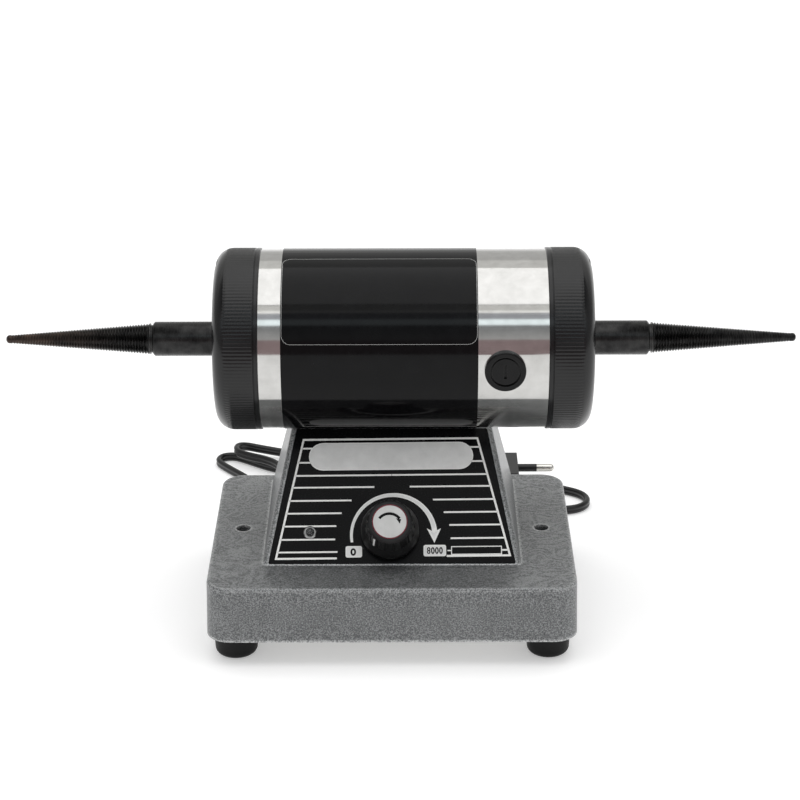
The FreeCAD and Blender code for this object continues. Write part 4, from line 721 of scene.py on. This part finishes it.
def strip(line, widths, closed=False):
    """Left and right edges of a line on the panel, with mitred corners."""
    line = [Vector(p) for p in line]
    if isinstance(widths, (int, float)):
        widths = [widths] * len(line)
    edges = []
    for i, here in enumerate(line):
        before = line[i - 1] if i or closed else None
        after = line[(i + 1) % len(line)] if i + 1 < len(line) or closed else None
        ways = [(here - before).normalized()] if before is not None else []
        ways += [(after - here).normalized()] if after is not None else []
        way = sum(ways, Vector((0, 0))).normalized()
        side = Vector((-way.y, way.x))
        square = Vector((-ways[0].y, ways[0].x))
        half = widths[i] / 2 / max(MITRE_LIMIT, side.dot(square))
        edges.append((here + side * half, here - side * half))
    return edges, closed


def arc(x, s, radius, start, end, steps):
    angles = [math.radians(start + (end - start) * i / steps) for i in range(steps + 1)]
    return [(x + radius * math.cos(a), s + radius * math.sin(a)) for a in angles]


def rounded(x0, s0, x1, s1, corner):
    """Outline of a rectangle with rounded corners, anticlockwise."""
    outline = []
    for cx, cs, start in ((x1 - corner, s1 - corner, 0), (x0 + corner, s1 - corner, 90),
                          (x0 + corner, s0 + corner, 180), (x1 - corner, s0 + corner, 270)):
        outline += arc(cx, cs, corner, start, start + 90, CORNER_STEPS)
    return outline


def printed(name, place, strips, plates, low, high, slot, body="housing", finish=None):
    """Raised strips and plates from height low to high; place takes (x, s, lift) to a point."""
    points, faces = [], []

    def raised(outline):
        first = len(points)
        for x, s in outline:
            points.append(place(x, s, low))
            points.append(place(x, s, high))
        count = len(outline)
        for i in range(count):
            a, b = first + 2 * i, first + 2 * ((i + 1) % count)
            faces.append((a, b, b + 1, a + 1))
        faces.append(tuple(first + 2 * i + 1 for i in range(count)))

    for edges, closed in strips:
        spans = len(edges) if closed else len(edges) - 1
        for i in range(spans):
            (left, right), (left_next, right_next) = edges[i], edges[(i + 1) % len(edges)]
            raised([right, right_next, left_next, left])
    for outline in plates:
        raised(outline)
    return mesh_piece(name, points, faces, slot, body, PRINT_SHARP, finish)


PRINT_THICK = 0.07
INLAY_THICK = 0.03
PRINT_HIGH = PANEL_FACE + PRINT_THICK
INLAY_HIGH = PRINT_HIGH + INLAY_THICK
# Lines of the print as (x, s), and their widths
LINE_WIDTH = 0.75
FRAME_WIDTH = 0.9
FRAME_LEFT = ((-24.6, 3.3), (-51.5, 3.3), (-39.4, 58.2))
FRAME_RIGHT = ((38.6, 58.2), (52.0, 3.9), (24.0, 3.9))
BOX_LEAD = ((24.4, 6.35), (26.2, 6.35))
BOX_LEAD_WIDTH = 0.5
SMALL_BOX = ((26.2, 8.1), (48.3, 8.1), (48.3, 4.6), (26.2, 4.6))
SMALL_BOX_WIDTH = 0.4
# s of a line from the frame's side inwards, and the x where it ends
SINGLE_LINES = ((41.4, -0.1), (41.4, 0.1), (6.2, -24.3), (6.4, 48.3))
# s of a pair of them, and the x where the left and the right one end
PAIRED_LINES = (
    (54.1, -35.6, 35.0), (47.5, -35.6, 35.0), (35.9, -7.8, 8.0), (29.8, -18.0, 18.3), (23.95, -22.4, 23.0),
    (18.05, -24.8, 25.4), (11.95, -25.3, 25.9),
)


def frame_x(s, low, high):
    """x on the frame's slanted side, which runs from low to high, at s up the slope."""
    share = (s - low[1]) / (high[1] - low[1])
    return low[0] + (high[0] - low[0]) * share


def from_frame(s, end):
    """A line from the frame's nearer side to x = end."""
    side = (FRAME_LEFT[1], FRAME_LEFT[2]) if end < 0 else (FRAME_RIGHT[1], FRAME_RIGHT[0])
    return strip(((frame_x(s, *side), s), (end, s)), LINE_WIDTH)


strips = [strip(FRAME_LEFT + FRAME_RIGHT, FRAME_WIDTH)]
strips += [from_frame(s, end) for s, end in SINGLE_LINES]
strips += [strip(BOX_LEAD, BOX_LEAD_WIDTH), strip(SMALL_BOX, SMALL_BOX_WIDTH, closed=True)]
for s, left_end, right_end in PAIRED_LINES:
    strips += [from_frame(s, left_end), from_frame(s, right_end)]

# The dial's arrow: an arc that widens towards its head, white with a silver inlay
DIAL_X, DIAL_S, DIAL_R = 0.4, 13.6, 18.5
DIAL_START, DIAL_END = 189.5, 3.5       # degrees
DIAL_STEPS = 64
DIAL_WIDTH = 1.15
DIAL_WIDENS = 1.2
DIAL_HEAD = ((-3.5, 1.9), (-0.2, -4.8), (2.8, 1.9), (-0.3, 0.1))
DIAL_HEAD_MIDDLE = (-0.3, -0.8)
INLAY_SHARE = 0.62
HEAD_INLAY_SHARE = 0.6
# Light field above the dial and the fields of its two numbers: x and s of two corners, corner radius
FIELDS = ((-37.0, 43.8, 36.6, 56.6, 6.3), (-20.7, 3.6, -13.4, 8.8, 0.9), (13.8, 3.8, 23.8, 9.0, 0.9))
FIELD_EDGE = 0.4


def shrunk(outline, middle, share):
    return [(middle[0] + (x - middle[0]) * share, middle[1] + (s - middle[1]) * share) for x, s in outline]


dial_arc = arc(DIAL_X, DIAL_S, DIAL_R, DIAL_START, DIAL_END, DIAL_STEPS)
dial_widths = [DIAL_WIDTH + DIAL_WIDENS * i / DIAL_STEPS for i in range(DIAL_STEPS + 1)]
head_x, head_s = dial_arc[-1]
dial_head = [(head_x + x, head_s + s) for x, s in DIAL_HEAD]
head_middle = (head_x + DIAL_HEAD_MIDDLE[0], head_s + DIAL_HEAD_MIDDLE[1])
strips.append(strip(dial_arc, dial_widths))
plates = [dial_head]
inlay_strips = [strip(dial_arc[1:-2], [width * INLAY_SHARE for width in dial_widths[1:-2]])]
inlay_plates = [shrunk(dial_head, head_middle, HEAD_INLAY_SHARE)]
for x0, s0, x1, s1, corner in FIELDS:
    plates.append(rounded(x0, s0, x1, s1, corner))
    inlay_plates.append(rounded(x0 + FIELD_EDGE, s0 + FIELD_EDGE, x1 - FIELD_EDGE, s1 - FIELD_EDGE,
                                corner - FIELD_EDGE))
printed("panel_lines", print_point, strips, plates, PANEL_FACE, PRINT_HIGH, "knob_white")
printed("panel_inlays", print_point, inlay_strips, inlay_plates, PRINT_HIGH, INLAY_HIGH, "knob_face",
        finish=silver_print)

# The dial's numbers, 0 and 8000. A digit's loop has a half width, a half height and a line width
OVAL_STEPS = 24
ZERO_X, ZERO_S = -17.3, 6.1
ZERO_LOOP = (0.85, 1.3, 0.8)
THOUSANDS_X, THOUSANDS_S = 16.1, 6.4
DIGIT_PITCH = 1.8
SMALL_ZERO_LOOP = (0.55, 1.28, 0.55)
EIGHT_LOOP = (0.52, 0.62, 0.5)
EIGHT_RISE = 0.66


def oval(x, s, wide, high, width):
    angles = [2 * math.pi * i / OVAL_STEPS for i in range(OVAL_STEPS)]
    return strip([(x + wide * math.cos(a), s + high * math.sin(a)) for a in angles], width, closed=True)


digits = [oval(ZERO_X, ZERO_S, *ZERO_LOOP)]
digits += [oval(THOUSANDS_X, THOUSANDS_S + rise, *EIGHT_LOOP) for rise in (EIGHT_RISE, -EIGHT_RISE)]
digits += [oval(THOUSANDS_X + DIGIT_PITCH * i, THOUSANDS_S, *SMALL_ZERO_LOOP) for i in (1, 2, 3)]
printed("dial_digits", print_point, digits, [], INLAY_HIGH, INLAY_HIGH + INLAY_THICK, "panel")

# The knob's turning arrow, about the knob's middle
KNOB_ARC_X, KNOB_ARC_S, KNOB_ARC_R = -0.2, -1.9, 5.5
KNOB_ARC_START, KNOB_ARC_END = 143, 36  # degrees
KNOB_ARC_STEPS = 24
KNOB_ARC_WIDTH = 1.2
KNOB_ARROW_HEAD = ((2.7, 1.5), (4.35, -1.0), (4.95, 1.0))
KNOB_PRINT_THICK = 0.04


def knob_point(x, s, lift):
    return panel_point(KNOB_X + x, KNOB_S + s, lift)


knob_arc = arc(KNOB_ARC_X, KNOB_ARC_S, KNOB_ARC_R, KNOB_ARC_START, KNOB_ARC_END, KNOB_ARC_STEPS)
printed("knob_arrow", knob_point, [strip(knob_arc, KNOB_ARC_WIDTH)], [KNOB_ARROW_HEAD], KNOB_TOP,
        KNOB_TOP + KNOB_PRINT_THICK, "panel", "knob")


# Thin bright edge of the bare label on the motor's sleeve

LABEL_START = math.radians(16.5)
LABEL_END = math.radians(79.6)
LABEL_R = 40.56
LABEL_CORNER = 4.0
LABEL_LINE = 0.14
LABEL_LINE_THICK = 0.03
LABEL_INSET = 0.15
LABEL_STEP = 2.0


def label_point(x, s, lift):
    """x along the motor, s round the tube from the label's lower edge, lift above the label."""
    angle = LABEL_START + s / LABEL_R
    radius = LABEL_R + lift
    return Vector((x, MOTOR_Y - radius * math.cos(angle), AXIS_HEIGHT + radius * math.sin(angle)))


def divided(outline, longest):
    """The closed outline with points added so that none are further apart than longest."""
    points = []
    for here, there in zip(outline, outline[1:] + outline[:1]):
        here, there = Vector(here), Vector(there)
        parts = max(1, math.ceil((there - here).length / longest))
        points += [here.lerp(there, i / parts) for i in range(parts)]
    return points


label_low, label_high = (corner[0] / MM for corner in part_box("data_plate"))
label_outline = rounded(label_low + LABEL_INSET, LABEL_INSET, label_high - LABEL_INSET,
                        (LABEL_END - LABEL_START) * LABEL_R - LABEL_INSET, LABEL_CORNER)
label_edge = strip(divided(label_outline, LABEL_STEP), LABEL_LINE, closed=True)
printed("label_edge", label_point, [label_edge], [], 0.0, LABEL_LINE_THICK, "knob_face")


# Floor, world and lamp, in metres

FLOOR_SIZE = 30.0
FLOOR_TONE = (0.8, 0.8, 0.8)
GLOW_START, GLOW_END = 0.4, 3.0         # from the frame's origin
GLOW_NEAR, GLOW_FAR = 0.34, 0.56


def make_floor():
    """A pale floor that looks white where no shadow falls on it."""
    mesh = bpy.data.meshes.new("floor")
    corners = [(x * FLOOR_SIZE, y * FLOOR_SIZE, 0) for x, y in ((-1, -1), (1, -1), (1, 1), (-1, 1))]
    mesh.from_pydata(corners, [], [(0, 1, 2, 3)])
    floor = link(bpy.data.objects.new("floor", mesh))
    material = bpy.data.materials.new("floor")
    material.use_nodes = True
    n = Nodes(material.node_tree)
    n.tree.nodes.clear()
    pale = n.add("ShaderNodeBsdfDiffuse")
    n.give(pale.inputs["Color"], FLOOR_TONE)
    reach = n.add("ShaderNodeVectorMath", operation="LENGTH")
    n.join(n.add("ShaderNodeTexCoord").outputs["Object"], reach.inputs[0])
    strength = n.spread(reach.outputs["Value"], GLOW_NEAR, GLOW_FAR, GLOW_START, GLOW_END)
    glow = n.add("ShaderNodeEmission")
    n.join(n.math("MULTIPLY", strength, n.rays("Camera", "Glossy", "Transmission")), glow.inputs["Strength"])
    both = n.add("ShaderNodeAddShader")
    n.join(pale.outputs["BSDF"], both.inputs[0])
    n.join(glow.outputs["Emission"], both.inputs[1])
    n.join(both.outputs["Shader"], n.add("ShaderNodeOutputMaterial").inputs["Surface"])
    mesh.materials.append(material)


make_floor()

# Degrees over the object from the front horizon, and the studio's tone there
ROSE = (0.33, 0.25, 0.255)
SKY = (1.35, 1.5, 1.55)
DUSK = (0.47, 0.49, 0.53)
LAMP_EDGE = (1.4, 1.4, 1.38)
PALE = (0.84, 0.84, 0.82)
BEHIND_LAMP = (0.1, 0.1, 0.1)
REAR = (0.62, 0.62, 0.61)
STUDIO_BANDS = (
    (0, ROSE), (17.5, ROSE), (19, (0.5, 0.5, 0.5)), (36, (0.26, 0.27, 0.28)), (37.5, SKY), (43.5, SKY),
    (45, DUSK), (52, DUSK), (53, LAMP_EDGE), (54.8, LAMP_EDGE), (55.8, PALE), (62.5, PALE),
    (63.5, BEHIND_LAMP), (120, BEHIND_LAMP), (121, PALE), (138, PALE), (140, REAR), (168, REAR), (178, WHITE),
)
STUDIO_SIDES = (0.42, 0.42, 0.42)
SIDES_START, SIDES_END = 0.6, 0.95      # share of the way that points sideways
SOFT_LIGHT = (0.68, 0.68, 0.68)


def make_world():
    """White behind the object, plain soft light all round, and a studio's bands where gloss reflects it."""
    world = bpy.data.worlds.new("studio")
    bpy.context.scene.world = world
    world.use_nodes = True
    n = Nodes(world.node_tree)
    way = n.add("ShaderNodeTexCoord").outputs["Generated"]
    over = n.math("ARCTAN2", n.part(way, "Z"), n.math("MULTIPLY", n.part(way, "Y"), -1.0))
    half_turns = n.math("MULTIPLY", over, 1 / math.pi)
    bands = n.tones(half_turns, *((degrees / 180, tone) for degrees, tone in STUDIO_BANDS))
    sideways = n.spread(n.math("ABSOLUTE", n.part(way, "X")), 0.0, 1.0, SIDES_START, SIDES_END)
    studio = n.mix(sideways, bands, STUDIO_SIDES)
    light = n.mix(n.rays("Glossy", "Transmission"), SOFT_LIGHT, studio)
    n.join(n.mix(n.rays("Camera"), light, WHITE), n.tree.nodes["Background"].inputs["Color"])


make_world()

LAMP_PLACE = (0, 0.06, 1.5)
LAMP_AIM = (0, 0.06, 0)
LAMP_WIDTH = 1.8
LAMP_DEPTH = 1.484
LAMP_POWER = 12.5


def make_lamp():
    data = bpy.data.lights.new("overhead", "AREA")
    data.shape = "RECTANGLE"
    data.size = LAMP_WIDTH
    data.size_y = LAMP_DEPTH
    data.energy = LAMP_POWER
    lamp = link(bpy.data.objects.new("overhead", data))
    lamp.location = LAMP_PLACE
    lamp.rotation_euler = (Vector(LAMP_AIM) - Vector(LAMP_PLACE)).to_track_quat("-Z", "Y").to_euler()


make_lamp()

bpy.context.scene.view_settings.view_transform = "Standard"
